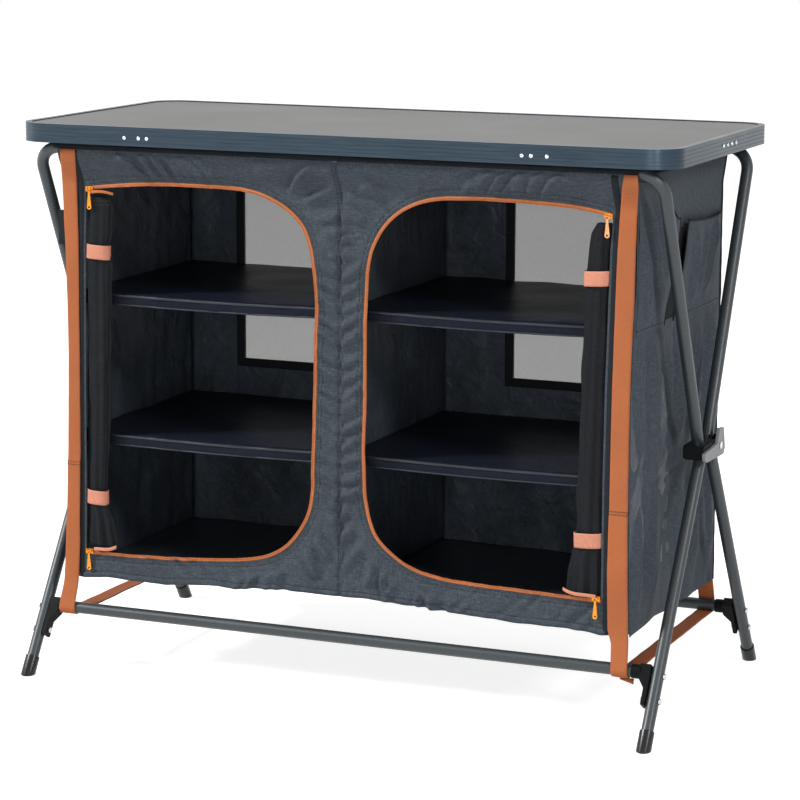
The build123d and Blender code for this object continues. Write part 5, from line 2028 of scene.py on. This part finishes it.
@dataclass
class ZipPulls:
    """Sliders dressed from their CAD forms, and pear-shaped pulls drawn to the photograph."""

    ring: float = 3.0
    neck: float = 1.9
    belly: float = 4.1
    eye: float = 1.5
    thick: float = 1.9
    pin_drop: float = 3.2
    follow_y: float = 163.0
    follow_keep: float = 0.5

    def outline(self, length: float) -> tuple[Points, list[Points]]:
        """Edge of a pull that hangs from 0 down, and its two holes.

        Args:
            length: Distance from the pin to the lower end.

        Returns:
            Points of the edge and of each hole, in X and Z.
        """
        turns = np.linspace(math.radians(-50), math.radians(230), 20)
        ring = np.stack([self.ring * np.cos(turns), self.ring * np.sin(turns)], axis=1)
        low = length - self.belly
        turns = np.linspace(math.radians(170), math.radians(370), 18)
        belly = np.stack([self.belly * np.cos(turns), self.belly * np.sin(turns) - low], axis=1)
        waist = np.array([(-self.neck, -self.ring - 3.0)])
        edge = np.concatenate([ring, waist, belly, waist * (-1, 1)])
        turns = np.linspace(0, 2 * math.pi, 16, endpoint=False)
        circle = np.stack([np.cos(turns), np.sin(turns)], axis=1)
        return edge, [circle * 1.6, circle * self.eye + np.array([0.0, -low])]

    def pull(self, node: str, finish: Finish, shift: tuple[float, float, float]) -> None:
        """Builds one pull in its node's place.

        Args:
            node: The CAD node.
            finish: Its plating.
            shift: How far the cloth has settled there.
        """
        low, high = (np.array(corner) / MM + np.array(shift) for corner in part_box(node))
        middle = (low + high) / 2
        pin = high[2] - self.pin_drop + GROUND
        edge, holes = self.outline(float(high[2] - low[2]) - self.pin_drop)
        shape = bmesh.new()
        for line in [edge] + holes:
            flat = np.stack([middle[0] + line[:, 0], np.full(len(line), low[1] + 0.6), pin + line[:, 1]], axis=1)
            verts = [shape.verts.new(spot) for spot in to_frame(flat)]
            for index, vert in enumerate(verts):
                shape.edges.new((vert, verts[(index + 1) % len(verts)]))
        bmesh.ops.triangle_fill(shape, edges=shape.edges, use_beauty=True)
        obj = build_mesh(node + "_tab", np.zeros((0, 3)), [])
        shape.to_mesh(obj.data)
        shape.free()
        face_towards(obj, FRONT)
        thicken(obj, self.thick)
        soften(obj, 0.5, 40.0)
        fit(obj, finish, body_of_node(node), [node])
        self.follow(obj)

    def follow(self, obj: bpy.types.Object) -> None:
        """Gives a slider or pull a mesh of its own."""
        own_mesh(obj)

    def make(self) -> None:
        """Builds the four sliders and pulls."""
        settled = {"left_foot": (-9.5, 0.0, -2.0), "right_foot": (-10.0, 0.0, 7.0)}
        for name, side in SIDES:
            for place in ("top", "foot"):
                shift = settled.get(f"{name}_{place}", (0.0, 0.0, 0.0))
                self.follow(HardPart(f"zip_slider_{name}_{place}", GOLD_PLATE, "brass", 0.5, shift=shift).make())
                rose = side > 0 and place == "top"
                self.pull(f"zip_pull_{name}_{place}", PALE_GOLD if rose else GOLD_PLATE, shift)


@dataclass
class Benchtop:
    """Board, grooved rim, battens, braces, clips and rivets."""

    length: float = 1100.0
    depth: float = 512.0
    batten_x: float = 332.0
    batten_rivets: tuple[float, ...] = (-19.5, -5.0, 20.0)
    brace_y: float = 20.0
    brace_rivets: tuple[float, ...] = (-33.0, -11.0, 11.0, 33.0)
    batten_z: float = 889.8
    brace_z: float = 892.8

    def rivets(self) -> None:
        """Sets domed heads on the rim where the battens and braces are fixed."""
        spots, outs = [], []
        for side in (-1, 1):
            for offset in self.batten_rivets:
                for end in (-1, 1):
                    spots.append((side * (self.batten_x + offset), end * (self.depth / 2 + 0.2), self.batten_z))
                    outs.append((0, end, 0))
            for offset in self.brace_rivets:
                spots.append((side * (self.length / 2 + 0.2), self.brace_y + offset, self.brace_z))
                outs.append((side, 0, 0))
        obj = RIVET_HEADS.lay("rim_rivets", [np.array(spots)], np.array(outs))
        fit(obj, ZINC, "benchtop", ["benchtop_rivets"])

    def make(self) -> None:
        """Builds the benchtop."""
        HardPart("benchtop_board", LAMINATE, "laminate_board", 0.2).make()
        HardPart("benchtop_rim", ANODISED, "rim_aluminium", 0.3).make()
        for name, _ in SIDES:
            HardPart(f"benchtop_batten_{name}", BATTEN, "batten_wood", 0.8).make()
        HardPart("benchtop_braces", BATTEN, "batten_wood", 0.8).make()
        HardPart("bar_saddles", BLACK_NYLON, "black_plastic", 0.5).make()
        self.rivets()


@dataclass
class TubeFrame:
    """Steel frame: half frames, legs, crossbars, elbows, bolts and feet."""

    def make(self) -> None:
        """Dresses every frame piece."""
        for end in ("front", "rear"):
            HardPart(f"upper_frame_{end}", POWDER_COAT, "powder_coated_steel", 0.0).make()
            HardPart(f"crossbar_{end}", POWDER_COAT, "powder_coated_steel", 0.0).make()
            for name, _ in SIDES:
                HardPart(f"leg_{end}_{name}", POWDER_COAT, "powder_coated_steel", 0.0).make()
            HardPart(f"elbows_{end}", BLACK_NYLON, "black_plastic", 2.4, 26.0).make()
            HardPart(f"feet_{end}", FOOT_PVC, "foot_rubber", 1.2).make()
            HardPart(f"leg_bolts_{end}", ZINC, "zinc_steel", 0.5).make()


@dataclass
class Hubs:
    """Housings, pivot pins and lock levers at both ends."""

    def make(self) -> None:
        """Dresses the hub pieces."""
        for name, _ in SIDES:
            HardPart(f"hub_{name}", BLACK_NYLON, "black_plastic", 0.8).make()
            HardPart(f"lock_lever_{name}", GREY_NYLON, "grey_plastic", 0.9).make()
        HardPart("hub_pins", ZINC, "zinc_steel", 0.4).make()


@dataclass
class SideLabel:
    """Small bare flag sewn into the left front corner."""

    low: float = 710.0
    tall: float = 56.0
    reach: float = 15.0

    def make(self) -> None:
        """Builds the flag."""
        u, v = np.meshgrid(np.linspace(0, 1, 10), np.linspace(0, 1, 24))
        x = -PLAN.half_width - u * self.reach
        y = -PLAN.half_depth + 0.6 + 2.5 * u * np.sin(v * 3)
        z = self.low + v * self.tall
        points = np.stack([x, y, z], axis=-1).reshape(-1, 3)
        hang_sheet("side_flag", points, grid_faces(24, 10), FRONT, 0.8, BINDING, replaces=["side_label"], rounded=True)


@dataclass
class Studio:
    """Pale floor, soft lamps and the camera."""

    camera_place: tuple[float, float, float] = (1.8241, -4.3059, 1.3059)
    camera_turn: tuple[float, float, float] = (79.615, -0.227, 22.878)
    lens: float = 131.5
    floor_size: float = 30.0
    floor_glow: float = 0.8
    surround: float = 0.24

    def floor(self) -> None:
        """Lays a white floor that keeps the object's shadow."""
        half = self.floor_size / 2 / MM
        level = GROUND - 0.3
        points = np.array([(-half, -half, level), (half, -half, level), (half, half, level), (-half, half, level)])
        obj = build_mesh("studio_floor", points, [(0, 1, 2, 3)], smooth=False)
        made = bpy.data.materials.new("Studio_Paper")
        made.use_nodes = True
        made.node_tree.nodes.clear()
        tree = Tree(made.node_tree)
        power = tree.add("ShaderNodeMath", {0: tree.seen(), 1: self.floor_glow}, operation="MULTIPLY").outputs[0]
        paper = tree.add("ShaderNodeBsdfDiffuse", {"Color": linear("E6E6E6")})
        glow = tree.add("ShaderNodeEmission", {"Color": (1, 1, 1, 1), "Strength": power})
        both = tree.add("ShaderNodeAddShader", {0: paper.outputs[0], 1: glow.outputs[0]})
        tree.add("ShaderNodeOutputMaterial", {"Surface": both.outputs[0]})
        obj.data.materials.append(made)

    def lamp(self, name: str, place: Sequence[float], size: tuple[float, float], power: float) -> None:
        """Adds a soft lamp aimed at the middle of the cupboard.

        Args:
            name: Name of the lamp.
            place: Its place in metres.
            size: Width and height in metres.
            power: Its power in watts.
        """
        light = bpy.data.lights.new(name, "AREA")
        light.shape = "RECTANGLE"
        light.size, light.size_y = size
        light.energy = power
        obj = link(name, light)
        way = Vector((0, 0, 0.5)) - Vector(place)
        obj.matrix_world = Matrix.Translation(Vector(place)) @ way.to_track_quat("-Z", "Y").to_matrix().to_4x4()

    def world(self) -> None:
        """Sets a white surround that lights the object softly."""
        made = bpy.data.worlds.new("Studio_Surround")
        bpy.context.scene.world = made
        made.use_nodes = True
        made.node_tree.nodes.clear()
        tree = Tree(made.node_tree)
        inputs = {"Value": tree.seen(), "To Min": self.surround, "To Max": 1.0}
        power = tree.add("ShaderNodeMapRange", inputs).outputs["Result"]
        glow = tree.add("ShaderNodeBackground", {"Color": (1, 1, 1, 1), "Strength": power})
        tree.add("ShaderNodeOutputWorld", {"Surface": glow.outputs[0]})

    def camera(self) -> None:
        """Places the camera where the photograph was taken."""
        data = bpy.data.cameras.new("camera")
        data.lens = self.lens
        data.sensor_width = 36.0
        data.clip_end = 60.0
        obj = link("camera", data)
        obj.location = self.camera_place
        obj.rotation_euler = [math.radians(turn) for turn in self.camera_turn]
        bpy.context.scene.camera = obj

    def make(self) -> None:
        """Sets up the studio."""
        self.floor()
        self.world()
        self.lamp("key_lamp", (-8.0, -5.0, 7.0), (1.7, 1.7), 1150)
        self.lamp("low_lamp", (1.4, -5.4, 1.3), (1.2, 0.9), 38)
        self.lamp("right_lamp", (4.4, -2.3, 3.0), (0.8, 1.0), 98)
        self.lamp("top_lamp", (0.2, -0.4, 4.2), (2.4, 1.6), 18)
        self.lamp("left_strip", (-4.0, -0.7, 0.6), (0.3, 1.0), 4)
        self.lamp("right_strip", (3.2, -4.3, 0.5), (0.3, 1.0), 16)
        self.camera()
        bpy.context.scene.view_settings.view_transform = "Standard"


def main() -> None:
    """Builds the cupboard, group by group."""
    logging.basicConfig(level=logging.INFO, format="%(message)s")
    Studio().make()
    Benchtop().make()
    TubeFrame().make()
    Hubs().make()
    CabinetShell().make()
    for name, side in SIDES:
        FrontPanel(name, side).make()
        DoorRoll(name, side).make()
        Strap(name, side).make()
    Shelves().make()
    EndPockets().make()
    BarSleeves().make()
    ZipPulls().make()
    SideLabel().make()


if __name__ == "__main__":
    main()
